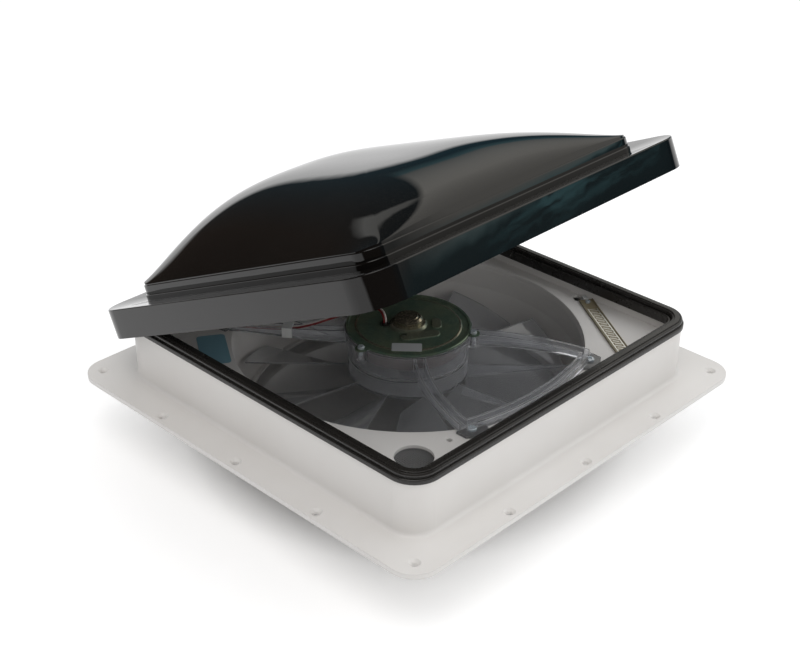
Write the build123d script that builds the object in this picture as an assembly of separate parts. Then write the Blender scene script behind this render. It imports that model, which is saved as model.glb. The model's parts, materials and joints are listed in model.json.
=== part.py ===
from build123d import *
from functools import cache
import math
import os

# Caravan roof vent: a powered, motor-lifted dome lid over a twelve volt fan in a square base.
# Millimetres. +Z is up, away from the roof. The origin is the centre of the flange's underside.
# The lid is hinged on the +Y side and opens at the -Y side. It is drawn shut and then swung open.

# Flange that lies on the roof
flange_size = 451.0
flange_thickness = 5.0
flange_corner = 25.5
corner_hole_inset = 18.2
side_hole_inset = 8.8
side_hole_pitch = 103.0
roof_hole_radius = 2.75
roof_sink_radius = 5.3
roof_sink_depth = 2.4

# Curb: the raised square wall with the gasket on its rim
curb_size = 382.0
curb_corner = 25.0
curb_wall = 4.0
curb_top = 57.0
curb_rim_thickness = 4.0
well_size = 360.0
well_wall = 3.0
curb_root_fillet = 4.0

# Deck inside the curb, with the holes in it
deck_top = 45.0
deck_thickness = 3.0
vent_hole_x = -143.5
vent_hole_y = -145.0
vent_hole_radius = 17.0
pip_hole_x = -104.4
pip_hole_y = -149.2
pip_hole_radius = 2.5
sensor_hole_x = 172.0
sensor_hole_y = -68.0
sensor_hole_length = 12.0
sensor_hole_width = 7.0

# Neck that drops into the roof opening, and the bosses in its corners
neck_size = 355.0
neck_wall = 3.5
neck_corner = 14.0
neck_depth = 39.0
neck_boss_size = 19.0
neck_boss_height = 26.0

# Throat: the round duct round the fan
throat_lip_radius = 167.5
throat_lip_drop = 5.0
throat_top_radius = 166.0
throat_waist_height = 19.0
throat_waist_radius = 165.5
throat_bottom_radius = 158.0
throat_bottom = -24.0
throat_wall = 2.0
throat_flange_radius = 170.0
throat_clear_radius = 172.0
deck_seam_inset = 0.4
throat_flange_thickness = 3.0

# Curb gasket
gasket_outer = 385.2
gasket_band_height = 4.5
gasket_groove_height = 0.9
gasket_groove_depth = 1.3
gasket_bulb_outer = 382.6
gasket_bulb_inner = 361.0
gasket_height = 10.0
gasket_bulb_round = 4.0
gasket_lip_outer = 359.4
gasket_lip_width = 1.9
gasket_lip_height = 9.5

# Lid
lid_open_angle = 25.4
lid_half_width = 204.5
lid_back = 204.7
lid_front = 202.1
lid_bottom = 42.2
lid_skirt_height = 28.5
lid_corner = 32.0
lid_wall = 2.2
lid_rim_width = 2.6
lid_gutter_depth = 2.7
lid_ledge_wall = 1.8
plinth_inset = 31.5
plinth_corner = 20.0
plinth_step = 1.1
plinth_lower_height = 5.6
plinth_upper_height = 8.8
dome_rise = 52.8
dome_back_lean_share = 0.28
dome_side_power = 2.71
dome_end_power = 4.46
dome_stations = 15
dome_margin = 0.05

# Lid hinge
hinge_y = 195.5
hinge_z = 42.5
hinge_spread = 220.0
hinge_pin_radius = 2.0
hinge_running_gap = 0.06
hinge_knuckle_radius = 4.2
hinge_knuckle_width = 14.0
hinge_lug_radius = 4.5
hinge_lug_width = 4.0
hinge_side_gap = 0.5
hinge_lug_height = 9.0
hinge_notch_margin = 2.5
hinge_notch_top_gap = 1.2
hinge_leaf_thickness = 2.4
hinge_leaf_height = 17.0
hinge_screw_inset = 4.0

# Lift arm: its pivot lies one arm length from the hinge, so that the roller runs on a straight
# line through the hinge, and the arm turns twice as far as the lid
arm_length = 80.0
arm_pivot_droop = 15.0
track_rise = 9.0
arm_turn_ratio = 2.0
arm_x = 157.5
arm_thickness = 3.0
arm_width = 8.0
arm_eye_radius = 6.5
arm_shaft_radius = 3.0
roller_radius = 4.0
roller_width = 5.0
roller_pin_radius = 1.5
roller_gap = 0.6
track_near = 54.0
track_far = 152.0
track_clearance = 0.12
track_wall = 1.5
track_web = 1.8
track_hanger_near = 66.0
track_hanger_far = 134.0
track_foot_width = 15.0
track_foot_thickness = 1.8
track_foot_drop = 3.6
lid_post_radius = 4.5
arm_slot_margin = 0.9

# Worm drive of the lift arm
lift_gear_teeth = 24
lift_gear_radius = 16.0
lift_gear_width = 5.0
lift_gear_x = 144.0
tooth_height = 1.3
tooth_share = 0.33
root_gap = 0.3
worm_radius = 6.0
worm_turns = 4
lift_shaft_radius = 2.5
lift_running_gap = 0.05
gearbox_wall = 2.6
gearbox_inner_width = 15.6
gearbox_front_y = 109.0
gearbox_back_margin = 11.2
gearbox_floor_gap = 19.5
gearbox_tab = 9.0
lift_motor_radius = 11.5
lift_motor_length = 27.0
lift_knob_radius = 16.0
lift_knob_height = 12.0
lift_knob_grip = 1.6
lift_knob_gap = 2.5
lift_knob_ribs = 12

# Screws: head radius, head height and shank radius of each kind
small_head = 2.6
small_head_height = 1.6
small_shank = 1.2
bracket_head = 4.2
bracket_head_height = 2.2
bracket_shank = 1.9
ear_head = 3.2
ear_head_height = 2.6
ear_shank = 1.7
screw_fit = 0.05
cross_width_share = 0.22
cross_depth_share = 0.5

# Fan motor
end_plate_radius = 59.7
end_plate_bottom = 55.0
end_plate_thickness = 1.2
end_plate_lip_height = 0.9
end_plate_lip_width = 3.0
end_plate_disc_radius = 50.0
end_plate_disc_rise = 0.8
boss_base_radius = 16.0
boss_radius = 13.5
boss_step_height = 2.2
boss_height = 9.0
boss_button_radius = 8.5
boss_button_rise = 0.8
boss_round = 2.0
ear_radius_place = 63.0
ear_radius = 6.0
ear_first_angle = 180.0
ear_count = 3
plate_vent_x = -19.0
plate_vent_y = -11.5
plate_vent_radius = 3.6
pad_height = 1.3
pad_width = 13.0
can_radius = 52.0
can_wall = 1.5
can_bottom = 36.0
can_nose_radius = 12.0
can_nose_height = 6.0
shaft_radius = 4.0
bearing_radius = 9.0
bearing_width = 4.5
armature_radius = 41.0
armature_height = 9.0
armature_slots = 12
armature_slot_width = 4.0
armature_slot_depth = 12.0
commutator_radius = 10.0
commutator_height = 3.0
commutator_bars = 12
commutator_bar_gap = 0.6
magnet_thickness = 6.5
magnet_arc = 140.0
magnet_height = 13.0
brush_width = 5.0
brush_height = 2.8
brush_length = 14.0
running_gap = 0.05
motor_label_length = 28.0
motor_label_width = 14.5
motor_label_thickness = 0.2
motor_label_x = -33.2
motor_label_y = -29.9
motor_label_turn = -47.0

# Clear bracket that carries the motor over the throat
cup_top = 55.0
cup_bottom = 28.0
cup_top_radius = 61.0
cup_bottom_radius = 57.6
cup_wall = 2.0
cup_flange_thickness = 2.2
cup_flange_inner_gap = 0.8
ear_post_radius = 5.2
ear_post_height = 13.0
spoke_start_x = 35.0
spoke_start_y = 48.0
spoke_mid_x = 64.5
spoke_mid_y = 92.0
spoke_end_x = 85.0
spoke_end_y = 148.0
back_start_x = 43.5
back_start_y = 38.5
back_mid_x = 79.5
back_mid_y = 82.5
back_end_x = 111.8
back_end_y = 129.0
back_tab_turn = 11.0
spoke_width = 11.0
spoke_wall = 2.0
spoke_floor = 2.0
arc_mid_y = 161.5
arc_width = 10.0
spoke_hub_top = 54.0
spoke_hub_bottom = 40.0
spoke_rim_top = 52.5
spoke_rim_bottom = 45.3
spoke_hub_reach = 45.0
spoke_rim_reach = 150.0
tab_screw_x = 81.5
tab_screw_y = 154.0
tab_thickness = 2.4
tab_reach = 17.0
tab_side = 12.0
tab_corner_shares = [(-1.0, -0.28), (1.0, -0.42), (1.0, 0.25), (-0.5, 0.9), (-1.2, 0.3)]
lead_notch_reach = 16.0

# Motor leads, clipped to the spoke on the back left
lead_radius = 0.95
lead_spacing = 2.4
grommet_x = -17.0
grommet_y = 14.5
grommet_radius = 3.9
grommet_neck_radius = 2.9
grommet_height = 2.4
lead_hole_radius = 4.0
lead_hole_x = 126.5
lead_hole_y = 150.5
connector_length = 14.0
connector_width = 10.0
connector_height = 9.0
clip_length = 9.5
clip_height = 9.0
clip_thickness = 1.4

# Fan
hub_radius = 58.0
hub_wall = 2.5
hub_top = 26.0
hub_bottom = 8.0
hub_floor = 2.5
hub_boss_radius = 10.0
hub_boss_height = 12.0
blade_count = 10
blade_tip_radius = 157.0
blade_top = 13.0
blade_bottom = -9.0
blade_thickness = 1.8
blade_sweep = 25.0
blade_first_angle = 134.0
collar_radius = 9.0
collar_height = 5.0

# Insect screen below the fan
screen_frame_radius = 163.0
screen_frame_inner = 152.5
screen_frame_height = 5.0
screen_seat_gap = 0.2
screen_bead = 1.2
net_thickness = 0.8
net_pitch = 17.0
net_wire = 1.6
net_radius = 154.5
clip_reach = 9.0
screen_clip_width = 12.0
screen_clip_thickness = 1.6
screen_clip_post = 3.0

# Inner cover in the neck, with the control panel
cover_thickness = 3.0
cover_gap = 0.3
cover_hole_radius = 150.0
cover_rim_height = 2.5
cover_rim_width = 4.0
panel_offset = 180.0
panel_length = 66.0
panel_width = 26.0
panel_thickness = 1.2
panel_corner = 5.0
board_length = 60.0
board_width = 22.0
board_thickness = 1.6
board_post_height = 5.0
board_post_radius = 2.6
button_count = 3
button_pitch = 19.0
button_radius = 5.0
button_gap = 0.3
button_flange = 1.4
button_flange_thickness = 1.6
button_proud = 2.2
button_travel = 1.0
button_seat_gap = 0.2
switch_size = 6.0

# Vent-hole mesh, rain sensor and deck label
vent_ring_width = 3.0
vent_ring_height = 2.6
vent_mesh_thickness = 0.8
vent_mesh_pitch = 4.2
vent_mesh_wire = 1.2
sensor_near_x = 173.5
sensor_near_y = -78.0
sensor_far_x = 111.0
sensor_far_y = -176.0
sensor_width = 14.3
sensor_thickness = 1.6
sensor_edge = 0.9
sensor_edge_height = 0.7
trace_height = 0.25
trace_width = 1.1
trace_pairs = 13
sensor_rivet_radius = 2.4
sensor_rivet_height = 2.2
sensor_rivet_inset = 6.0
sensor_plug_length = 7.0
label_length = 54.0
label_width = 27.0
label_thickness = 0.2
label_corner = 4.0
label_corner_x = -152.0
label_corner_y = 79.0
label_turn = 57.7

# Shares of a piece's own size
screw_crown_share = 0.45
cross_reach_share = 0.62
flange_edge_share = 0.95
arm_slot_share = 0.3125
lip_rise_share = 0.625
pad_shares = ((-1.5, -1.3, 0.2, -2.3, 1.0), (1.2, -1.7, 1.7, -1.2, 0.75))
pad_round_share = 0.8
blade_root_share = 0.8
blade_blank_share = 1.05
button_rest_share = 1.1
board_part_pitch_share = 1.8
board_part_share = 0.6
trace_start_share = 3.2
trace_edge_share = 2.2
trace_turn_share = 2.2
trace_offset_shares = (0.75, 0.25)
rivet_round_share = 0.4
plug_seat_share = 0.8
track_screw_share = 1.4
tooth_root_share = 0.75
tooth_tip_share = 0.3
thread_root_share = 0.78
terminal_width_share = 0.45
terminal_reach_share = 1.12

# Turns in degrees, and counts
panel_turn = 45.0
sensor_hole_turn = 57.0
band_steps = 8
board_part_count = 4

# One overrun serves all cuts
over = 1.0

# Values worked out from the sizes above
curb_half = curb_size / 2
well_half = well_size / 2
neck_half = neck_size / 2
flange_half = flange_size / 2
well_corner = curb_corner - (curb_half - well_half)
deck_bottom = deck_top - deck_thickness
pivot_y = hinge_y - arm_length * math.cos(math.radians(arm_pivot_droop))
pivot_z = hinge_z - arm_length * math.sin(math.radians(arm_pivot_droop))
worm_y = pivot_y + lift_gear_radius + worm_radius
cover_top = -neck_depth + cover_thickness
hinge_places = (-hinge_spread / 2, hinge_spread / 2)
lid_top = lid_bottom + lid_skirt_height
gutter_floor = lid_top - lid_gutter_depth
plinth_mid = gutter_floor + plinth_lower_height
plinth_top = plinth_mid + plinth_upper_height
lid_middle_y = (lid_back - lid_front) / 2
lid_half_length = (lid_back + lid_front) / 2


def slab(x0, x1, y0, y1, z0, z1):
    """A box between two corners."""
    box = Box(x1 - x0, y1 - y0, z1 - z0)
    return box.translate(((x0 + x1) / 2, (y0 + y1) / 2, (z0 + z1) / 2))


def soft_box(half_x, half_y, corner, z0, z1, y=0.0):
    """An upright prism with rounded corners."""
    face = RectangleRounded(2 * half_x, 2 * half_y, corner)
    return extrude(face, z1 - z0).translate((0, y, z0))


def rod(radius, z0, z1, x=0.0, y=0.0):
    """An upright cylinder."""
    return Cylinder(radius, z1 - z0).translate((x, y, (z0 + z1) / 2))


def rod_x(radius, x0, x1, y, z):
    """A cylinder along X."""
    bar = Cylinder(radius, x1 - x0).rotate(Axis.Y, 90)
    return bar.translate(((x0 + x1) / 2, y, z))


def spun(points):
    """A ring turned about Z from (radius, height) points."""
    outline = Polyline(*[(r, 0, z) for r, z in points], close=True)
    return revolve(make_face(outline), Axis.Z)


def prism(points, z0, z1):
    """An upright prism on an outline of straight sides."""
    outline = Polyline(*[(x, y) for x, y in points], close=True)
    return extrude(make_face(outline), z1 - z0).translate((0, 0, z0))


def side_prism(points, x0, x1):
    """A prism along X on an outline given as (y, z) points."""
    outline = Polyline(*[(x0, y, z) for y, z in points], close=True)
    return extrude(make_face(outline), amount=x1 - x0, dir=(1, 0, 0))


def group(pieces):
    """Separate solids that share one node."""
    solids = []
    for piece in pieces:
        solids.extend(piece.solids())
    return Compound(children=solids)


def screw(head, head_height, shank, length, x, y, seat):
    """A cross-head screw, its head on the level called seat and its shank below."""
    body = rod(head, seat, seat + head_height, x, y)
    body = fillet(body.edges().group_by(Axis.Z)[-1], head_height * screw_crown_share)
    slot = head * cross_width_share
    depth = head_height * cross_depth_share
    reach = head * cross_reach_share
    top = seat + head_height
    body -= slab(x - reach, x + reach, y - slot, y + slot, top - depth, top + over)
    body -= slab(x - slot, x + slot, y - reach, y + reach, top - depth, top + over)
    return body + rod(shank, seat - length, seat + head_height / 4, x, y)


def polar(radius, angle):
    """A point on a circle about Z."""
    turn = math.radians(angle)
    return radius * math.cos(turn), radius * math.sin(turn)


def swing_lid(shape):
    """From the shut pose to the pose the model rests in."""
    return shape.rotate(Axis((0, hinge_y, hinge_z), (-1, 0, 0)), lid_open_angle)


def swing_arm(shape):
    """The lift arm turns twice as far as the lid, about its own pivot."""
    turn = lid_open_angle * arm_turn_ratio
    return shape.rotate(Axis((0, pivot_y, pivot_z), (-1, 0, 0)), turn)


# Places that more than one piece uses

def flange_holes():
    corner = flange_half - corner_hole_inset
    side = flange_half - side_hole_inset
    places = [(sx * corner, sy * corner) for sx in (-1, 1) for sy in (-1, 1)]
    for sign in (-1, 1):
        for step in (-1, 0, 1):
            places.append((step * side_hole_pitch, sign * side))
            places.append((sign * side, step * side_hole_pitch))
    return places


def turned(x, y, angle):
    """A point turned about Z."""
    c, s = math.cos(math.radians(angle)), math.sin(math.radians(angle))
    return x * c - y * s, x * s + y * c


def tab_turn(sign_x, sign_y):
    """The back tabs stand further round towards the sides."""
    return -sign_x * back_tab_turn if sign_y > 0 else 0


def tab_places():
    return [
        turned(sx * tab_screw_x, sy * tab_screw_y, tab_turn(sx, sy)) for sx in (-1, 1) for sy in (-1, 1)
    ]


def tab_outlines():
    """The feet of the bracket, as five-sided plates round their screws."""
    outlines = []
    for sx in (-1, 1):
        for sy in (-1, 1):
            corners = [(tab_screw_x + across * tab_side, tab_screw_y + out * tab_reach)
                       for across, out in tab_corner_shares]
            outlines.append([turned(sx * x, sy * y, tab_turn(sx, sy)) for x, y in corners])
    return outlines


def ear_places():
    step = 360 / ear_count
    return [polar(ear_radius_place, ear_first_angle + n * step) for n in range(ear_count)]


def clip_places():
    place = (screen_frame_radius + throat_flange_radius) / 2
    return [polar(place, 90 * n) for n in range(4)]


def cover_screw_places():
    place = neck_half - neck_boss_size / 2
    return [(sx * place, sy * place) for sx in (-1, 1) for sy in (-1, 1)]


def panel_frame(shape):
    """Moves a shape drawn at the origin to the control panel, which is turned across a corner."""
    shape = shape.rotate(Axis.Z, -panel_turn)
    place = panel_offset * math.sqrt(0.5)
    return shape.translate((-place, -place, 0))


def board_post_places():
    x = board_length / 2 - board_post_radius
    y = board_width / 2 - board_post_radius
    return [(sx * x, sy * y) for sx in (-1, 1) for sy in (-1, 1)]


def button_places():
    first = -(button_count - 1) / 2
    return [(first + n) * button_pitch for n in range(button_count)]


def gearbox_screw_places():
    wide = lift_gear_x - gearbox_inner_width / 2 - gearbox_wall - gearbox_tab / 2
    back = worm_y + gearbox_back_margin + gearbox_tab / 2
    return [(wide, worm_y), (lift_gear_x, back)]


def lead_hole():
    """The hole in the deck behind the back left tab, where the motor leads go down."""
    return -lead_hole_x, lead_hole_y


# Base

@cache
def whole_base():
    """The white moulding in one piece, before it is divided into simpler bodies."""
    base = soft_box(flange_half, flange_half, flange_corner, 0, flange_thickness)
    curb = soft_box(curb_half, curb_half, curb_corner, 0, curb_top)
    base += curb
    foot = base.edges().filter_by_position(Axis.Z, flange_thickness, flange_thickness)
    foot = [e for e in foot if e.center().X ** 2 + e.center().Y ** 2 < flange_half ** 2 * flange_edge_share]
    foot = [e for e in foot if max(abs(e.center().X), abs(e.center().Y)) < curb_half + over]
    base = fillet(foot, curb_root_fillet)
    rim_inner = curb_half - curb_wall
    base -= soft_box(
        rim_inner, rim_inner, curb_corner - curb_wall, flange_thickness, curb_top - curb_rim_thickness
    )
    base -= soft_box(well_half, well_half, well_corner, deck_top, curb_top + over)
    well_outer = well_half + well_wall
    wall = soft_box(well_outer, well_outer, well_corner + well_wall, deck_bottom, curb_top)
    wall -= soft_box(well_half, well_half, well_corner, deck_top, curb_top + over)
    base += wall
    neck = soft_box(neck_half, neck_half, neck_corner, -neck_depth, flange_thickness)
    bosses = None
    for x, y in cover_screw_places():
        size = neck_boss_size / 2
        boss = slab(x - size, x + size, y - size, y + size, cover_top, cover_top + neck_boss_height)
        bosses = boss if bosses is None else bosses + boss
    bosses = bosses & neck
    base += neck
    inside = neck_half - neck_wall
    base -= soft_box(
        inside, inside, neck_corner - neck_wall, -neck_depth - over, flange_thickness + over
    )
    base += bosses
    throat = spun([
        (throat_bottom_radius, throat_bottom),
        (throat_flange_radius, throat_bottom),
        (throat_flange_radius, throat_bottom + throat_flange_thickness),
        (throat_bottom_radius + throat_wall + 0.5 * throat_wall, throat_bottom + throat_flange_thickness),
        (throat_waist_radius + throat_wall, throat_waist_height),
        (throat_top_radius + throat_wall, deck_top - throat_lip_drop),
        (throat_lip_radius + throat_wall, deck_bottom),
        (throat_lip_radius + throat_wall, deck_top),
        (throat_lip_radius, deck_top),
        (throat_top_radius, deck_top - throat_lip_drop),
        (throat_waist_radius, throat_waist_height),
    ])
    base -= rod(throat_lip_radius + throat_wall / 2, deck_bottom - over, deck_top + over)
    base += throat
    for x, y in flange_holes():
        base -= rod(roof_hole_radius, -over, flange_thickness + over, x, y)
        sink = Cone(roof_hole_radius, roof_sink_radius, roof_sink_depth)
        base -= sink.translate((x, y, flange_thickness - roof_sink_depth / 2))
    cuts = [rod(vent_hole_radius, deck_bottom - over, deck_top + over, vent_hole_x, vent_hole_y)]
    cuts.append(rod(pip_hole_radius, deck_bottom - over, deck_top + over, pip_hole_x, pip_hole_y))
    slot = extrude(SlotOverall(sensor_hole_length, sensor_hole_width), deck_thickness + 2 * over)
    slot = slot.rotate(Axis.Z, sensor_hole_turn).translate((sensor_hole_x, sensor_hole_y, deck_bottom - over))
    cuts.append(slot)
    for x, y in tab_places():
        cuts.append(rod(bracket_shank + screw_fit, deck_bottom - over, deck_top + over, x, y))
    x, y = lead_hole()
    cuts.append(rod(lead_hole_radius, deck_bottom - over, deck_top + over, x, y))
    for x, y in gearbox_screw_places():
        cuts.append(rod(small_shank + screw_fit, deck_bottom - over, deck_top + over, x, y))
    clip_hole_top = throat_bottom + throat_flange_thickness + over
    for x, y in clip_places():
        cuts.append(rod(small_shank + screw_fit, throat_bottom - over, clip_hole_top, x, y))
    for x, y in cover_screw_places():
        cuts.append(rod(small_shank + screw_fit, cover_top - over, cover_top + neck_boss_height / 2, x, y))
    cuts.append(arm_slot())
    for cut in cuts:
        base -= cut
    for place in hinge_places:
        for side in (-1, 1):
            inner = place + side * (hinge_knuckle_width / 2 + hinge_side_gap)
            outer = inner + side * hinge_lug_width
            x0, x1 = min(inner, outer), max(inner, outer)
            low = hinge_z - hinge_lug_radius
            lug = slab(x0, x1, curb_half - curb_wall / 2, hinge_y, low, low + hinge_lug_height)
            lug += rod_x(hinge_lug_radius, x0, x1, hinge_y, hinge_z)
            lug -= rod_x(hinge_pin_radius + hinge_running_gap / 2, x0 - over, x1 + over, hinge_y, hinge_z)
            base += lug
    return base


def neck_region():
    around = neck_half + over
    region = slab(-around, around, -around, around, -neck_depth - over, 0)
    region += soft_box(neck_half, neck_half, neck_corner, -over, flange_thickness)
    return region - rod(throat_clear_radius, -neck_depth - 2 * over, flange_thickness + over)


def throat_region():
    return rod(throat_clear_radius, throat_bottom - over, deck_bottom)


def deck_region():
    half = well_half - deck_seam_inset
    return soft_box(half, half, well_corner - deck_seam_inset, deck_bottom, deck_top + over)


def base_moulding():
    """The flange and the curb."""
    return whole_base() - neck_region() - throat_region() - deck_region()


def base_neck():
    """The square neck that drops into the roof opening."""
    return whole_base() & neck_region()


def base_throat():
    """The round throat under the deck."""
    return whole_base() & throat_region()


def base_deck():
    return whole_base() & deck_region()


def arm_slot():
    """The slot in the deck that the lift arm swings in."""
    shut = math.radians(2 * track_rise + arm_pivot_droop)
    rise = deck_bottom - pivot_z
    front = pivot_y - (rise + deck_thickness) / math.tan(shut) - arm_width / 2 / math.sin(shut)
    back = pivot_y + arm_length * arm_slot_share
    half = arm_thickness / 2 + arm_slot_margin
    return slab(arm_x - half, arm_x + half, front, back, deck_bottom - over, deck_top + over)


def curb_gasket():
    base = curb_top
    outer = gasket_outer / 2
    corner = curb_corner + outer - curb_half
    band = soft_box(outer, outer, corner, base, base + gasket_band_height)
    edge = band.edges().group_by(Axis.Z)[-1]
    band = fillet(edge, gasket_band_height / 4)
    bulb_half = gasket_bulb_outer / 2
    bulb_corner = curb_corner + bulb_half - curb_half
    neck_half_size = bulb_half - gasket_groove_depth / 2
    groove = soft_box(
        neck_half_size, neck_half_size, bulb_corner - gasket_groove_depth / 2,
        base, base + gasket_band_height + gasket_groove_height,
    )
    bulb = soft_box(
        bulb_half, bulb_half, bulb_corner, base + gasket_band_height + gasket_groove_height,
        base + gasket_height,
    )
    bulb = fillet(bulb.edges().group_by(Axis.Z)[-1], gasket_bulb_round)
    body = band + groove + bulb
    inner = gasket_bulb_inner / 2
    inner_corner = well_corner + inner - well_half
    body -= soft_box(inner, inner, inner_corner, base - over, base + gasket_height + over)
    rounded = body.edges().filter_by_position(
        Axis.Z, base + gasket_height - over / 2, base + gasket_height + over / 2
    )
    inner_top = [e for e in rounded if max(abs(e.center().X), abs(e.center().Y)) < inner + over]
    body = fillet(inner_top, gasket_bulb_round)
    lip = gasket_lip_outer / 2
    lip_corner = well_corner + lip - well_half
    lip_inner = lip - gasket_lip_width
    ring = soft_box(lip, lip, lip_corner, base - gasket_height / 3, base + gasket_lip_height * lip_rise_share)
    ring -= soft_box(
        lip_inner, lip_inner, lip_corner - gasket_lip_width, base - gasket_height, base + gasket_height
    )
    bridge = soft_box(inner + over, inner + over, inner_corner, base, base + gasket_lip_height / 2)
    bridge -= soft_box(
        lip_inner, lip_inner, lip_corner - gasket_lip_width, base - gasket_height, base + gasket_height
    )
    return body + ring + bridge


# Motor bracket

def spoke_points(sign_y):
    """Start, middle and end of the +X spoke of the front pair, or of the wider back pair."""
    if sign_y < 0:
        return (spoke_start_x, -spoke_start_y), (spoke_mid_x, -spoke_mid_y), (spoke_end_x, -spoke_end_y)
    return (back_start_x, back_start_y), (back_mid_x, back_mid_y), (back_end_x, back_end_y)


def spoke_plan(sign_x, sign_y, inset):
    """The outline of one spoke, narrower all round by inset."""
    line = ThreePointArc(*[(x * sign_x, y) for x, y in spoke_points(sign_y)])
    return flat_band(line, spoke_width / 2 - inset)


def flat_band(line, half):
    """A flat band of constant width along a plane curve."""
    left = []
    right = []
    for n in range(band_steps + 1):
        spot = line.position_at(n / band_steps)
        way = line.tangent_at(n / band_steps)
        left.append((spot.X - way.Y * half, spot.Y + way.X * half))
        right.append((spot.X + way.Y * half, spot.Y - way.X * half))
    side_a = Spline(*left)
    side_b = Spline(*right)
    ends = [Line(left[0], right[0]), Line(left[-1], right[-1])]
    return make_face([side_a, side_b] + ends)


def arc_plan(sign_y, inset):
    """The outline of the arc that joins the outer ends of a pair of spokes."""
    x, y = spoke_points(sign_y)[-1]
    return flat_band(ThreePointArc((-x, y), (0, arc_mid_y * sign_y), (x, y)), arc_width / 2 - inset)


def arm_envelope(lift):
    """The space that the spokes keep to, which thins towards the rim."""
    near = spoke_hub_reach / 2
    far = spoke_rim_reach + 4 * arc_width
    return spun([
        (near, spoke_hub_bottom + lift),
        (spoke_hub_reach, spoke_hub_bottom + lift),
        (spoke_rim_reach, spoke_rim_bottom + lift),
        (far, spoke_rim_bottom + lift),
        (far, spoke_rim_top + lift),
        (spoke_rim_reach, spoke_rim_top + lift),
        (near, spoke_hub_top + lift),
    ])


def bracket_arms(sign_y):
    low = spoke_hub_bottom - over
    tall = spoke_hub_top - spoke_hub_bottom + 2 * over

    def raised(face):
        return extrude(face, tall).translate((0, 0, low))

    outer = raised(spoke_plan(-1, sign_y, 0)) + raised(spoke_plan(1, sign_y, 0))
    outer += raised(arc_plan(sign_y, 0))
    inner = raised(spoke_plan(-1, sign_y, spoke_wall)) + raised(spoke_plan(1, sign_y, spoke_wall))
    inner += raised(arc_plan(sign_y, spoke_wall))
    return (outer & arm_envelope(0)) - (inner & arm_envelope(spoke_floor))


def motor_bracket():
    flange_inner = can_radius + cup_flange_inner_gap
    cup = spun([
        (flange_inner, cup_top - cup_flange_thickness),
        (cup_top_radius - cup_wall, cup_top - cup_flange_thickness),
        (cup_bottom_radius - cup_wall, cup_bottom + cup_wall),
        (cup_bottom_radius - 2 * cup_wall, cup_bottom),
        (cup_bottom_radius, cup_bottom),
        (cup_top_radius, cup_top - 2 * cup_flange_thickness),
        (cup_top_radius, cup_top),
        (flange_inner, cup_top),
    ])
    arms = bracket_arms(-1) + bracket_arms(1)
    keep_out = rod(cup_bottom_radius, cup_bottom, cup_top + over)
    body = cup + (arms - keep_out)
    for outline in tab_outlines():
        body += prism(outline, deck_top, deck_top + tab_thickness)
    for x, y in ear_places():
        body += rod(ear_post_radius, cup_top - ear_post_height, cup_top, x, y)
    body -= rod(flange_inner, cup_bottom - over, cup_top + over)
    for x, y in tab_places():
        body -= rod(bracket_shank + screw_fit, deck_top - over, deck_top + tab_thickness + over, x, y)
        clear = deck_top + tab_thickness
        body -= rod(bracket_head + 4 * screw_fit, clear, clear + 4 * bracket_head_height, x, y)
    for x, y in ear_places():
        body -= rod(ear_shank + screw_fit, cup_top - ear_post_height + cup_wall, cup_top + over, x, y)
    return body - lead_notch()


def lead_notch():
    """The gap in the end wall of the back left spoke, where the leads run out over the tab."""
    half = spoke_width / 2 - spoke_wall
    level = spoke_rim_bottom + spoke_floor
    notch = slab(0, lead_notch_reach, -half, half, level, spoke_hub_top)
    turn = math.degrees(math.atan2(back_end_y - back_mid_y, back_mid_x - back_end_x))
    return notch.rotate(Axis.Z, turn).translate((-back_end_x, back_end_y, 0))


def bracket_screws():
    seat = deck_top + tab_thickness
    length = tab_thickness + deck_thickness + 2 * bracket_shank
    return group([
        screw(bracket_head, bracket_head_height, bracket_shank, length, x, y, seat) for x, y in tab_places()
    ])


# Fan motor

def stadium(x0, y0, x1, y1, width, z0, z1, round_top):
    """A raised pad with round ends between two points."""
    length = math.hypot(x1 - x0, y1 - y0) + width
    pad = extrude(SlotOverall(length, width), z1 - z0)
    pad = fillet(pad.edges().group_by(Axis.Z)[-1], round_top)
    pad = pad.rotate(Axis.Z, math.degrees(math.atan2(y1 - y0, x1 - x0)))
    return pad.translate(((x0 + x1) / 2, (y0 + y1) / 2, z0))


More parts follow.
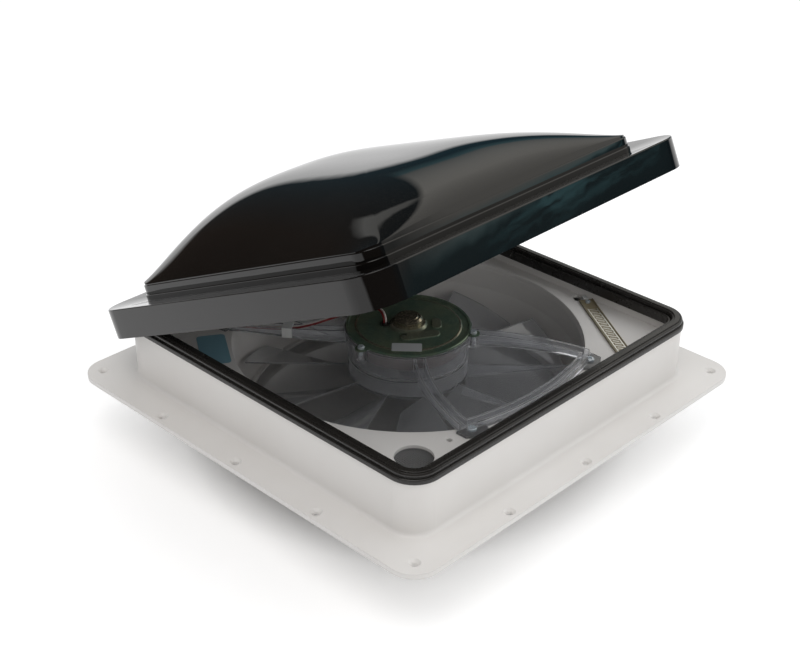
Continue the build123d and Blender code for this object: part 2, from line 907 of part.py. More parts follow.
def motor_end_plate():
    low = end_plate_bottom
    skin = end_plate_thickness
    top = low + skin
    lip = end_plate_radius - end_plate_lip_width
    disc = end_plate_disc_radius
    base_top = top + end_plate_disc_rise + boss_step_height
    boss_top = low + boss_height + skin
    pocket = bearing_radius + 2 * running_gap
    ceiling = boss_top - skin
    plate = spun([
        (0, ceiling),
        (pocket, ceiling),
        (pocket, low),
        (end_plate_radius - end_plate_thickness, low),
        (end_plate_radius - end_plate_thickness, low - over),
        (end_plate_radius, low - over),
        (end_plate_radius, top + end_plate_lip_height - skin / 2),
        (end_plate_radius - skin / 2, top + end_plate_lip_height),
        (lip + skin / 2, top + end_plate_lip_height),
        (lip, top),
        (disc + skin, top),
        (disc, top + end_plate_disc_rise),
        (boss_base_radius + boss_step_height, top + end_plate_disc_rise),
        (boss_base_radius, base_top),
        (boss_radius, base_top),
        (boss_radius, boss_top - boss_round),
        (boss_radius - boss_round, boss_top),
        (boss_button_radius + boss_button_rise, boss_top),
        (boss_button_radius, boss_top + boss_button_rise),
        (0, boss_top + boss_button_rise),
    ])
    disc_top = top + end_plate_disc_rise
    for x0, y0, x1, y1, width in pad_shares:
        plate += stadium(x0 * pad_width, y0 * pad_width, x1 * pad_width, y1 * pad_width, width * pad_width,
                         disc_top - skin / 2, disc_top + pad_height, pad_height * pad_round_share)
    for x, y in ear_places():
        ear = rod(ear_radius, low, top, x, y)
        plate += ear - rod(end_plate_radius - end_plate_thickness, low - over, top + over)
    plate -= rod(plate_vent_radius, low - over, top + 4 * over, plate_vent_x, plate_vent_y)
    plate -= rod(grommet_neck_radius, low - over, top + 4 * over, grommet_x, grommet_y)
    for x, y in ear_places():
        plate -= rod(ear_shank + screw_fit, low - 2 * over, top + over, x, y)
        plate -= rod(ear_post_radius + 4 * screw_fit, low - 2 * over, low, x, y)
    cup_room = rod(cup_top_radius + over, low - 2 * over, low)
    cup_room -= rod(end_plate_radius / 2, low - 3 * over, low)
    return plate - cup_room


def motor_can():
    outer = can_radius
    inner = can_radius - can_wall
    nose = can_nose_radius
    floor = can_bottom
    end = can_bottom - can_nose_height
    pocket = bearing_radius + 2 * running_gap
    hole = shaft_radius + 4 * running_gap
    return spun([
        (hole, end),
        (nose - can_wall, end),
        (nose, end + can_wall),
        (nose, floor),
        (outer - can_wall, floor),
        (outer, floor + can_wall),
        (outer, end_plate_bottom),
        (inner, end_plate_bottom),
        (inner, floor + can_wall),
        (pocket, floor + can_wall),
        (pocket, end + can_wall),
        (hole, end + can_wall),
    ])


def motor_magnets():
    outer = can_radius - can_wall - 2 * running_gap
    inner = outer - magnet_thickness
    low = can_bottom + can_wall + 2 * running_gap
    ring = rod(outer, low, low + magnet_height) - rod(inner, low - over, low + magnet_height + over)
    half = math.radians(magnet_arc / 2)
    reach = 2 * can_radius
    pieces = []
    for sign in (-1, 1):
        wedge = prism([
            (0, 0),
            (sign * reach * math.cos(half), reach * math.sin(half)),
            (sign * reach, reach * math.sin(half)),
            (sign * reach, -reach * math.sin(half)),
            (sign * reach * math.cos(half), -reach * math.sin(half)),
        ], low - over, low + magnet_height + over)
        pieces.append(ring & wedge)
    return group(pieces)


def bearing(low):
    ring = rod(bearing_radius, low, low + bearing_width)
    return ring - rod(shaft_radius + running_gap, low - over, low + bearing_width + over)


def motor_bearings():
    lower = can_bottom - can_nose_height + can_wall + 2 * running_gap
    upper = end_plate_bottom + boss_height - bearing_width - 2 * running_gap
    return group([bearing(lower), bearing(upper)])


def motor_brushes():
    top = end_plate_bottom - running_gap
    inner = commutator_radius + 4 * running_gap
    pieces = []
    for sign in (-1, 1):
        x0, x1 = sorted((sign * inner, sign * (inner + brush_length)))
        pieces.append(slab(x0, x1, -brush_width / 2, brush_width / 2, top - brush_height, top))
    return group(pieces)


def motor_screws():
    seat = end_plate_bottom + end_plate_thickness
    return group([
        screw(ear_head, ear_head_height, ear_shank, ear_post_height / 2, x, y, seat) for x, y in ear_places()
    ])


def motor_label():
    level = end_plate_bottom + end_plate_thickness + end_plate_disc_rise
    plate = extrude(RectangleRounded(motor_label_length, motor_label_width, motor_label_width / 12),
                    motor_label_thickness)
    return plate.rotate(Axis.Z, motor_label_turn).translate((motor_label_x, motor_label_y, level))


def wire_grommet():
    low = end_plate_bottom
    seat = low + end_plate_thickness + end_plate_disc_rise
    body = rod(grommet_radius, seat, seat + grommet_height, grommet_x, grommet_y)
    body = fillet(body.edges().group_by(Axis.Z)[-1], grommet_height / 3)
    body += rod(grommet_neck_radius - screw_fit, low, seat + grommet_height / 2, grommet_x, grommet_y)
    for side in (-1, 1):
        x = grommet_x + side * lead_spacing / 2
        body -= rod(lead_radius + screw_fit, low - over, seat + grommet_height + over, x, grommet_y)
    return body


# The leads' route by hand, then the same route a little to one side for the second lead
lead_route = [
    (-17.0, 14.5, 55.2),
    (-17.0, 14.5, 66.0),
    (-11.5, 26.5, 67.5),
    (-15.0, 41.0, 64.5),
    (-29.0, 51.5, 60.5),
    (-46.0, 58.0, 58.5),
    (-62.8, 64.2, 56.4),
    (-73.3, 75.0, 52.2),
    (-82.0, 87.5, 49.9),
    (-93.5, 103.0, 49.4),
    (-103.5, 116.5, 49.2),
    (-112.6, 128.5, 49.4),
    (-121.0, 141.0, 49.9),
    (-126.5, 150.5, 47.4),
    (-126.5, 150.5, 42.0),
]
lead_bend_share = 0.42
lead_end_share = 0.8


def lead(side):
    """One lead along the route, shifted sideways by half the spacing."""
    points = []
    last = len(lead_route) - 1
    for n, (x, y, z) in enumerate(lead_route):
        if n in (0, 1, last - 1, last):
            points.append(Vector(x + side * lead_spacing / 2, y, z))
            continue
        before, after = lead_route[n - 1], lead_route[n + 1]
        way = Vector(after[0] - before[0], after[1] - before[1], 0).normalized()
        points.append(Vector(x + side * way.Y * lead_spacing / 2, y - side * way.X * lead_spacing / 2, z))
    radii = []
    for n in range(1, last):
        a = points[n] - points[n - 1]
        b = points[n + 1] - points[n]
        before = a.length * (lead_end_share if n == 1 else lead_bend_share)
        after = b.length * (lead_end_share if n == last - 1 else lead_bend_share)
        radii.append(min(before, after) / math.tan(math.radians(a.get_angle(b)) / 2))
    path = FilletPolyline(*points, radius=radii)
    start = Plane(origin=path.position_at(0), z_dir=path.tangent_at(0))
    tube = sweep(start * Circle(lead_radius), path=path)
    expected = math.pi * lead_radius ** 2 * path.length
    print("lead", side, "length", round(path.length, 1), "volume share", round(tube.volume / expected, 4))
    print("  bend radii", [round(r, 1) for r in radii])
    return tube


def lead_clip():
    """A white clip that hooks over the near wall of the spoke and closes it over the leads."""
    half = spoke_width / 2
    top = clip_thickness
    block = slab(-clip_length / 2, clip_length / 2, -half - clip_thickness, half, -clip_height, top)
    block -= slab(-clip_length, clip_length, -half - 3 * screw_fit, 2 * half, -2 * clip_height, 0)
    (ax, ay), (bx, by), (cx, cy) = spoke_points(1)
    turn = math.degrees(math.atan2(cy - ay, ax - cx))
    reach = math.hypot(bx, by) - clip_length / 2
    slope = (spoke_hub_top - spoke_rim_top) / (spoke_rim_reach - spoke_hub_reach / 2)
    level = spoke_hub_top - slope * (reach - spoke_hub_reach / 2)
    return block.rotate(Axis.Z, turn - 180).translate((-bx, by, level + screw_fit))


def lead_connector():
    x, y = lead_hole()
    return slab(x - connector_length / 2, x + connector_length / 2, y - connector_width / 2,
                y + connector_width / 2, deck_bottom - connector_height, deck_bottom)


# Fan

def fan_blade():
    hub = spun([
        (hub_boss_radius, hub_bottom + hub_floor),
        (hub_boss_radius, hub_bottom + hub_boss_height),
        (shaft_radius + running_gap, hub_bottom + hub_boss_height),
        (shaft_radius + running_gap, hub_bottom),
        (hub_radius, hub_bottom),
        (hub_radius, hub_top),
        (hub_radius - hub_wall, hub_top),
        (hub_radius - hub_wall, hub_bottom + hub_floor),
    ])
    sections = []
    inner = hub_radius * blade_root_share
    outer = blade_tip_radius * blade_blank_share
    spread = math.tan(math.radians(blade_sweep))
    for radius in (inner, outer):
        width = radius * spread
        plane = Plane(origin=(radius, 0, 0), x_dir=(0, 1, 0), z_dir=(1, 0, 0))
        outline = Polyline(
            (0, blade_top), (-width, blade_bottom + blade_thickness), (-width, blade_bottom),
            (0, blade_top - blade_thickness), close=True,
        )
        sections.append(plane * make_face(outline))
    blade = loft(sections, ruled=True)
    blade = blade & rod(blade_tip_radius, blade_bottom - over, blade_top + over)
    blade -= rod(hub_radius - hub_wall / 2, blade_bottom - over, blade_top + over)
    turn = 360 / blade_count
    blades = [blade.rotate(Axis.Z, blade_first_angle + n * turn) for n in range(blade_count)]
    body = hub
    for piece in blades:
        body += piece
    return body


def fan_shaft():
    low = hub_bottom - collar_height - over
    top = end_plate_bottom + boss_height - 4 * running_gap
    return rod(shaft_radius, low, top)


def fan_collar():
    low = hub_bottom - collar_height - 2 * running_gap
    body = rod(collar_radius, low, low + collar_height)
    body = fillet(body.edges().group_by(Axis.Z)[0], collar_height / 6)
    return body - rod(shaft_radius + running_gap, low - over, low + collar_height + over)


def fan_armature():
    low = can_bottom + can_wall + 2 * over
    body = rod(armature_radius, low, low + armature_height)
    for n in range(armature_slots):
        slot = slab(armature_radius - armature_slot_depth, armature_radius + over,
                    -armature_slot_width / 2, armature_slot_width / 2,
                    low - over, low + armature_height + over)
        body -= slot.rotate(Axis.Z, n * 360 / armature_slots)
    return body - rod(shaft_radius + running_gap, low - over, low + armature_height + over)


def fan_commutator():
    top = end_plate_bottom - 4 * running_gap
    low = top - commutator_height
    body = rod(commutator_radius, low, top)
    for n in range(commutator_bars):
        cut = slab(commutator_radius - over, commutator_radius + over, -commutator_bar_gap / 2,
                   commutator_bar_gap / 2, low - over, top + over)
        body -= cut.rotate(Axis.Z, (n + 0.5) * 360 / commutator_bars)
    return body - rod(shaft_radius + running_gap, low - over, top + over)


# Insect screen

def screen_frame():
    top = throat_bottom - screen_seat_gap
    low = top - screen_frame_height
    mid = screen_frame_inner + (screen_frame_radius - screen_frame_inner) / 2
    return spun([
        (screen_frame_inner + screen_bead, low),
        (screen_frame_radius, low),
        (screen_frame_radius, top),
        (mid + screen_bead, top),
        (mid, top - screen_bead),
        (mid - screen_bead, top - screen_bead),
        (mid - 2 * screen_bead, top),
        (screen_frame_inner, top),
        (screen_frame_inner, low + net_thickness + 2 * screen_seat_gap + screen_bead),
        (net_radius + screen_seat_gap, low + net_thickness + 2 * screen_seat_gap + screen_bead),
        (net_radius + screen_seat_gap, low + screen_bead),
        (screen_frame_inner, low + screen_bead),
    ])


def insect_screen():
    low = throat_bottom - screen_seat_gap - screen_frame_height + screen_bead + screen_seat_gap
    face = Circle(net_radius)
    hole = net_pitch - net_wire
    reach = int(net_radius // net_pitch) + 1
    squares = []
    for i in range(-reach, reach + 1):
        for j in range(-reach, reach + 1):
            x, y = (i + 0.5) * net_pitch, j * net_pitch
            if math.hypot(abs(x) + hole / 2, abs(y) + hole / 2) < screen_frame_inner - net_wire / 2:
                squares.append(Pos(x, y) * Rectangle(hole, hole))
    face -= squares
    return extrude(face, net_thickness).translate((0, 0, low))


def screen_clips():
    frame_low = throat_bottom - screen_seat_gap - screen_frame_height
    pieces = []
    top = frame_low - screen_seat_gap
    low = top - screen_clip_thickness
    for n in range(len(clip_places())):
        reach = screen_frame_radius - clip_reach / 2
        far = throat_flange_radius - over / 2
        arm = slab(reach, far, -screen_clip_width / 2, screen_clip_width / 2, low, top)
        place = (screen_frame_radius + throat_flange_radius) / 2
        clip = arm + rod(screen_clip_post, low, throat_bottom, place)
        clip -= rod(small_shank + screw_fit, low - over, throat_bottom + over, place)
        pieces.append(clip.rotate(Axis.Z, 90 * n))
    return group(pieces)


def screen_clip_screws():
    seat = throat_bottom - 2 * screen_seat_gap - screen_frame_height - screen_clip_thickness
    length = screen_frame_height + screen_clip_thickness + throat_flange_thickness
    pieces = []
    for x, y in clip_places():
        piece = screw(small_head, small_head_height, small_shank, length, 0, 0, 0)
        pieces.append(piece.rotate(Axis.X, 180).translate((x, y, seat)))
    return group(pieces)


# Inner cover and controls

def inner_cover():
    half = neck_half - neck_wall - cover_gap
    low = -neck_depth
    cover = soft_box(half, half, neck_corner - neck_wall - cover_gap, low, cover_top)
    cover -= rod(cover_hole_radius, low - over, cover_top + over)
    rim = rod(cover_hole_radius + cover_rim_width, low - cover_rim_height, low)
    rim -= rod(cover_hole_radius, low - 2 * cover_rim_height, low + over)
    cover += fillet(rim.edges().group_by(Axis.Z)[0], cover_rim_height / 3)
    for x, y in board_post_places():
        cover += panel_frame(rod(board_post_radius, cover_top - over, cover_top + board_post_height, x, y))
    for x in button_places():
        cover -= panel_frame(rod(button_radius + button_gap, low - over, cover_top + over, x, 0))
    for x, y in cover_screw_places():
        cover -= rod(small_shank + 2 * screw_fit, low - over, cover_top + over, x, y)
    cover -= rod(lift_shaft_radius + 4 * button_gap, low - over, cover_top + over, lift_gear_x, worm_y)
    return cover


def inner_cover_screws():
    pieces = []
    for x, y in cover_screw_places():
        piece = screw(small_head, small_head_height, small_shank, 3 * cover_thickness, 0, 0, 0)
        pieces.append(piece.rotate(Axis.X, 180).translate((x, y, -neck_depth)))
    return group(pieces)


def control_panel():
    low = -neck_depth - panel_thickness
    plate = extrude(RectangleRounded(panel_length, panel_width, panel_corner), panel_thickness)
    plate = plate.translate((0, 0, low))
    for x in button_places():
        plate -= rod(button_radius + button_gap, low - over, -neck_depth + over, x, 0)
    return panel_frame(plate)


def control_board():
    low = cover_top + board_post_height
    body = slab(-board_length / 2, board_length / 2, -board_width / 2, board_width / 2,
                low, low + board_thickness)
    half = switch_size / 2
    button_top = cover_top + button_seat_gap + button_flange_thickness
    for x in button_places():
        body += slab(x - half, x + half, -half, half, button_top + button_rest_share * button_travel, low)
    for n in range(board_part_count):
        x = (n - (board_part_count - 1) / 2) * board_part_pitch_share * switch_size
        body += slab(x - half, x + half, half, half + board_part_share * switch_size, low + board_thickness,
                     low + board_thickness + switch_size / 3)
    return panel_frame(body)


def push_button(x):
    low = -neck_depth - panel_thickness - button_proud
    seat = cover_top + button_seat_gap
    body = rod(button_radius, low, seat + button_flange_thickness, x, 0)
    body = fillet(body.edges().group_by(Axis.Z)[0], button_proud / 3)
    body += rod(button_radius + button_flange, seat, seat + button_flange_thickness, x, 0)
    return panel_frame(body)


# Small pieces on the deck

def corner_vent_screen():
    outer = vent_hole_radius + vent_ring_width
    low = deck_bottom - vent_ring_height
    body = rod(outer, low, deck_bottom) - rod(vent_hole_radius, low - over, deck_bottom + over)
    face = Circle(vent_hole_radius + vent_ring_width / 2)
    hole = vent_mesh_pitch - vent_mesh_wire
    reach = int(vent_hole_radius // vent_mesh_pitch) + 1
    squares = []
    for i in range(-reach, reach + 1):
        for j in range(-reach, reach + 1):
            x, y = i * vent_mesh_pitch, j * vent_mesh_pitch
            if math.hypot(abs(x) + hole / 2, abs(y) + hole / 2) < vent_hole_radius:
                squares.append(Pos(x, y) * Rectangle(hole, hole))
    face -= squares
    body += extrude(face, vent_mesh_thickness).translate((0, 0, low))
    return body.translate((vent_hole_x, vent_hole_y, 0))


def sensor_length():
    return math.hypot(sensor_far_x - sensor_near_x, sensor_far_y - sensor_near_y)


def on_sensor(shape):
    """Moves a shape drawn along X from the origin to the rain sensor's near end."""
    turn = math.degrees(math.atan2(sensor_far_y - sensor_near_y, sensor_far_x - sensor_near_x))
    return shape.rotate(Axis.Z, turn).translate((sensor_near_x, sensor_near_y, deck_top))


def rain_sensor_board():
    length = sensor_length()
    half = sensor_width / 2
    board = slab(0, length, -half, half, 0, sensor_thickness)
    for side in (-1, 1):
        y0, y1 = sorted((side * half, side * (half - sensor_edge)))
        board += slab(0, length, y0, y1, 0, sensor_thickness + sensor_edge_height)
    board -= rod(small_shank + screw_fit, -over, sensor_thickness + over, sensor_rivet_inset, 0)
    board -= rod(small_shank + screw_fit, -over, sensor_thickness + over, length - sensor_rivet_inset, 0)
    return on_sensor(board)


def rain_sensor_traces():
    """Two combs of bright fingers that mesh without touching."""
    length = sensor_length()
    start = trace_start_share * sensor_rivet_inset
    end = length - 2 * sensor_rivet_inset
    half = sensor_width / 2 - trace_edge_share * sensor_edge
    pitch = (end - start) / trace_pairs
    top = sensor_thickness + trace_height
    combs = []
    for side in (-1, 1):
        y0, y1 = sorted((side * half, side * (half - trace_width)))
        comb = slab(start, end, y0, y1, sensor_thickness, top)
        for n in range(trace_pairs):
            x = start + (n + trace_offset_shares[side < 0]) * pitch
            y0, y1 = sorted((side * half, -side * (half - trace_turn_share * trace_width)))
            comb += slab(x - trace_width / 2, x + trace_width / 2, y0, y1, sensor_thickness, top)
        combs.append(comb)
    return on_sensor(group(combs))


def rain_sensor_fixings():
    length = sensor_length()
    pieces = []
    for x in (sensor_rivet_inset, length - sensor_rivet_inset):
        head = rod(sensor_rivet_radius, sensor_thickness, sensor_thickness + sensor_rivet_height, x)
        head = fillet(head.edges().group_by(Axis.Z)[-1], sensor_rivet_height * rivet_round_share)
        head += rod(small_shank, 0, sensor_thickness + over / 2, x)
        pieces.append(head)
    return on_sensor(group(pieces))


def rain_sensor_plug():
    width = sensor_width / 3
    length = sensor_plug_length * plug_seat_share
    body = slab(-length, -screw_fit, -width / 2, width / 2, 0, 2 * sensor_thickness)
    return on_sensor(body)


def deck_label():
    """A bare label on the deck, its long edge beside the throat."""
    plate = extrude(RectangleRounded(label_length, label_width, label_corner), label_thickness)
    plate = plate.translate((label_length / 2, label_width / 2, deck_top))
    return plate.rotate(Axis.Z, label_turn).translate((label_corner_x, label_corner_y, 0))


# Hinge and lid

def hinge_pins():
    half = hinge_knuckle_width / 2 + hinge_side_gap + hinge_lug_width
    return group([
        rod_x(hinge_pin_radius, place - half, place + half, hinge_y, hinge_z) for place in hinge_places
    ])


def dome_height(across, along):
    """Height of the crown over the plinth, from shares of the half width and half length."""
    arch = 1 - abs(across) ** dome_side_power
    ends = math.sqrt(1 - abs(along) ** dome_end_power)
    return dome_rise * arch * ends * (1 + dome_back_lean_share * along)


def dome(shrink, drop):
    """The crowned top of the lid, as a thick block under one smooth skin."""
    half = lid_half_width - plinth_inset - plinth_step - shrink + dome_margin
    length = lid_half_length - plinth_inset - plinth_step - shrink + dome_margin
    shares = [-math.cos(math.pi * n / (dome_stations - 1)) for n in range(dome_stations)]
    grid = [
        [
            Vector(across * half, lid_middle_y + along * length,
                   plinth_top - drop + dome_height(across, along))
            for across in shares
        ]
        for along in shares
    ]
    skin = Face.make_surface_from_array_of_points(grid)
    return Solid.extrude(skin, Vector(0, 0, -2 * dome_rise))


def lid_dome():
    wide, long_ = lid_half_width, lid_half_length
    mid = lid_middle_y
    skirt = soft_box(wide, long_, lid_corner, lid_bottom, lid_top, mid)
    base_wide, base_long = wide - plinth_inset, long_ - plinth_inset
    rim_wide, rim_long = wide - lid_rim_width, long_ - lid_rim_width
    gutter = loft([
        Pos(0, mid, gutter_floor) * RectangleRounded(2 * base_wide, 2 * base_long, plinth_corner),
        Pos(0, mid, lid_top) * RectangleRounded(2 * rim_wide, 2 * rim_long, lid_corner - lid_rim_width),
    ], ruled=True)
    body = skirt - gutter
    body += soft_box(base_wide, base_long, plinth_corner, gutter_floor - lid_ledge_wall, plinth_mid, mid)
    step_wide, step_long = base_wide - plinth_step, base_long - plinth_step
    body += soft_box(step_wide, step_long, plinth_corner - plinth_step, plinth_mid - over, plinth_top, mid)
    crown_block = soft_box(step_wide, step_long, plinth_corner - plinth_step,
                           plinth_mid, plinth_top + 2 * dome_rise, mid)
    body += dome(0, 0) & crown_block
    in_wide, in_long = wide - lid_wall, long_ - lid_wall
    ledge_low = gutter_floor - lid_ledge_wall
    ledge_high = lid_top - lid_ledge_wall
    hollow = soft_box(in_wide, in_long, lid_corner - lid_wall, lid_bottom - over, ledge_high, mid)
    under_wide, under_long = base_wide - lid_wall, base_long - lid_wall
    slope = loft([
        Pos(0, mid, ledge_low) * RectangleRounded(2 * under_wide, 2 * under_long, plinth_corner - lid_wall),
        Pos(0, mid, ledge_high) * RectangleRounded(2 * rim_wide, 2 * rim_long, lid_corner - lid_rim_width),
    ], ruled=True)
    hollow -= slope
    hollow += soft_box(under_wide, under_long, plinth_corner - lid_wall, lid_bottom,
                       plinth_mid - lid_wall / 2, mid)
    top_wide, top_long = step_wide - lid_wall, step_long - lid_wall
    inner_corner = plinth_corner - plinth_step - lid_wall
    hollow += soft_box(top_wide, top_long, inner_corner, lid_bottom, plinth_top - lid_wall, mid)
    inner_block = soft_box(top_wide, top_long, inner_corner, plinth_mid, plinth_top + 2 * dome_rise, mid)
    hollow += dome(lid_wall, lid_wall) & inner_block
    shell = body - hollow
    notch_half = hinge_knuckle_width / 2 + hinge_side_gap + hinge_lug_width + hinge_notch_margin
    notch_top = hinge_z + hinge_lug_radius + hinge_notch_top_gap
    for place in hinge_places:
        shell -= slab(place - notch_half, place + notch_half, lid_back - 2 * lid_wall, lid_back + over,
                      lid_bottom - over, notch_top)
    foot_level = track_foot_level()
    plinth = soft_box(step_wide, step_long, inner_corner, ledge_low, plinth_top, mid)
    for x, y in track_screw_places():
        post = rod(lid_post_radius, foot_level, plinth_top + dome_rise, x, y)
        shell += post & (dome(0, 0) + plinth)
        shell -= rod(small_shank + screw_fit, foot_level - over, foot_level + 2 * lid_post_radius, x, y)
    leaf_hole_z = hinge_leaf_hole_level()
    for place in hinge_places:
        for side in (-1, 1):
            x = place + side * (hinge_knuckle_width / 2 - hinge_screw_inset + small_head)
            hole = Cylinder(small_shank + screw_fit, 6 * lid_wall).rotate(Axis.X, 90)
            shell -= hole.translate((x, lid_back, leaf_hole_z))
    return swing_lid(shell)


def hinge_leaf_hole_level():
    return hinge_z + hinge_leaf_height - hinge_screw_inset


def lid_hinge_leaves():
    """A knuckle on each pin, with a leaf that lies against the inside of the skirt."""
    pieces = []
    inner_face = lid_back - lid_wall
    for place in hinge_places:
        half = hinge_knuckle_width / 2
        x0, x1 = place - half, place + half
        leaf = slab(x0, x1, inner_face - hinge_leaf_thickness, inner_face,
                    hinge_z, hinge_z + hinge_leaf_height)
        wing = half + small_head
        leaf += slab(place - wing, place + wing, inner_face - hinge_leaf_thickness, inner_face,
                     hinge_z + hinge_leaf_height - 2 * hinge_screw_inset, hinge_z + hinge_leaf_height)
        knuckle = rod_x(hinge_knuckle_radius, x0, x1, hinge_y, hinge_z)
        bridge_top = hinge_z + hinge_knuckle_radius
        leaf += slab(x0, x1, hinge_y, inner_face, bridge_top - hinge_leaf_thickness, bridge_top)
        piece = leaf + knuckle
        piece -= rod_x(hinge_pin_radius + hinge_running_gap, x0 - over, x1 + over, hinge_y, hinge_z)
        for side in (-1, 1):
            x = place + side * (half - hinge_screw_inset + small_head)
            hole = Cylinder(small_shank + screw_fit, 6 * lid_wall).rotate(Axis.X, 90)
            piece -= hole.translate((x, lid_back, hinge_leaf_hole_level()))
        pieces.append(piece)
    return swing_lid(group(pieces))


def lid_hinge_screws():
    """Round heads on the outside of the skirt, tips in the leaves."""
    length = lid_wall + hinge_leaf_thickness
    pieces = []
    for place in hinge_places:
        for side in (-1, 1):
            x = place + side * (hinge_knuckle_width / 2 - hinge_screw_inset + small_head)
            piece = screw(small_head, small_head_height, small_shank, length, 0, 0, 0)
            pieces.append(piece.rotate(Axis.X, -90).translate((x, lid_back, hinge_leaf_hole_level())))
    return swing_lid(group(pieces))


# Lift arm, its track and its drive

def track_point(distance, across):
    """A (y, z) point of the shut lid's track, by distance from the hinge and height off its line."""
    rise = math.radians(track_rise)
    y = hinge_y - distance * math.cos(rise) + across * math.sin(rise)
    z = hinge_z + distance * math.sin(rise) + across * math.cos(rise)
    return y, z


def track_foot_level():
    return plinth_top - track_foot_drop


def track_x():
    """The inner face of the track's web, beyond the roller."""
    return arm_x + arm_thickness / 2 + roller_gap + roller_width + roller_gap


def track_screw_places():
    x = track_x() + track_web - track_foot_width + track_screw_share * small_head
    ys = [hinge_y - track_hanger_near - 2 * small_head, hinge_y - track_hanger_far + 2 * small_head]
    return [(x, y) for y in ys]


def lid_track():
    """A channel for the roller, hung from the dome on a vertical web with a screwed foot."""
    half_slot = roller_radius + track_clearance
    x_open = arm_x + arm_thickness / 2 + roller_gap / 2
    x_web = track_x()

    def strip(low, high, x0, x1, near=track_near, far=track_far):
        corners = [track_point(near, low), track_point(far, low), track_point(far, high),
                   track_point(near, high)]
        return side_prism(corners, x0, x1)

    body = strip(half_slot, half_slot + track_wall, x_open, x_web + track_web)
    body += strip(-half_slot - track_wall, -half_slot, x_open, x_web + track_web)
    body += strip(-half_slot - track_wall, half_slot + track_wall, x_web, x_web + track_web)
    top = track_foot_level()
    near_y, far_y = hinge_y - track_hanger_near, hinge_y - track_hanger_far
    low_near = track_point(track_hanger_near, half_slot)
    low_far = track_point(track_hanger_far, half_slot)
    body += side_prism([low_near, low_far, (far_y, top), (near_y, top)], x_web, x_web + track_web)
    foot = slab(x_web + track_web - track_foot_width, x_web + track_web, far_y, near_y,
                top - track_foot_thickness, top)
    body += foot
    for x, y in track_screw_places():
        body -= rod(small_shank + screw_fit, top - 2 * track_foot_thickness, top + over, x, y)
    return swing_lid(body)


def lid_track_screws():
    pieces = []
    seat = track_foot_level() - track_foot_thickness
    for x, y in track_screw_places():
        piece = screw(small_head, small_head_height, small_shank, 2 * lid_post_radius, 0, 0, 0)
        pieces.append(piece.rotate(Axis.X, 180).translate((x, y, seat)))
    return swing_lid(group(pieces))


def arm_tip():
    """The roller's axis with the lid shut, as (y, z)."""
    angle = math.radians(2 * track_rise + arm_pivot_droop)
    return pivot_y - arm_length * math.cos(angle), pivot_z + arm_length * math.sin(angle)


def lift_arm():
    tip_y, tip_z = arm_tip()
    x0, x1 = arm_x - arm_thickness / 2, arm_x + arm_thickness / 2
    way_y, way_z = (tip_y - pivot_y) / arm_length, (tip_z - pivot_z) / arm_length
    half = arm_width / 2
    bar = side_prism([
        (pivot_y - way_z * half, pivot_z + way_y * half),
        (tip_y - way_z * half, tip_z + way_y * half),
        (tip_y + way_z * half, tip_z - way_y * half),
        (pivot_y + way_z * half, pivot_z - way_y * half),
    ], x0, x1)
    bar += rod_x(arm_eye_radius, x0, x1, pivot_y, pivot_z)
    bar += rod_x(half, x0, x1, tip_y, tip_z)
    bar -= rod_x(arm_shaft_radius + lift_running_gap, x0 - over, x1 + over, pivot_y, pivot_z)
    bar -= rod_x(roller_pin_radius + lift_running_gap, x0 - over, x1 + over, tip_y, tip_z)
    return swing_arm(bar)


def roller_pin():
    tip_y, tip_z = arm_tip()
    x0 = arm_x - arm_thickness / 2 - over / 2
    x1 = track_x() - roller_gap / 2
    pin = rod_x(roller_pin_radius, x0, x1, tip_y, tip_z)
    pin += rod_x(2 * roller_pin_radius, x0 - over, x0, tip_y, tip_z)
    return swing_arm(pin)


def arm_roller():
    tip_y, tip_z = arm_tip()
    x0 = arm_x + arm_thickness / 2 + roller_gap / 2
    x1 = x0 + roller_width
    wheel = rod_x(roller_radius, x0, x1, tip_y, tip_z)
    wheel -= rod_x(roller_pin_radius + lift_running_gap, x0 - over, x1 + over, tip_y, tip_z)
    return swing_arm(wheel)


def arm_shaft():
    x0 = gearbox_left() - over
    x1 = arm_x + arm_thickness / 2 + over
    return swing_arm(rod_x(arm_shaft_radius, x0, x1, pivot_y, pivot_z))


def lift_gear():
    """A worm wheel with straight-flanked teeth, one tooth pointing at the worm with the lid shut."""
    root = lift_gear_radius - tooth_height
    tip = lift_gear_radius + tooth_height
    pitch = 2 * math.pi * lift_gear_radius / lift_gear_teeth
    thick = pitch * tooth_share
    x0, x1 = lift_gear_x - lift_gear_width / 2, lift_gear_x + lift_gear_width / 2
    body = rod_x(root, x0, x1, 0, 0)
    tooth = side_prism([
        (root - over / 2, -tooth_root_share * thick), (tip, -tooth_tip_share * thick),
        (tip, tooth_tip_share * thick), (root - over / 2, tooth_root_share * thick),
    ], x0, x1)
    for n in range(lift_gear_teeth):
        body += tooth.rotate(Axis.X, n * 360 / lift_gear_teeth)
    body += rod_x(arm_eye_radius, x0 - over, x1 + over, 0, 0)
    body -= rod_x(arm_shaft_radius + lift_running_gap, x0 - 2 * over, x1 + 2 * over, 0, 0)
    return swing_arm(body.translate((0, pivot_y, pivot_z)))


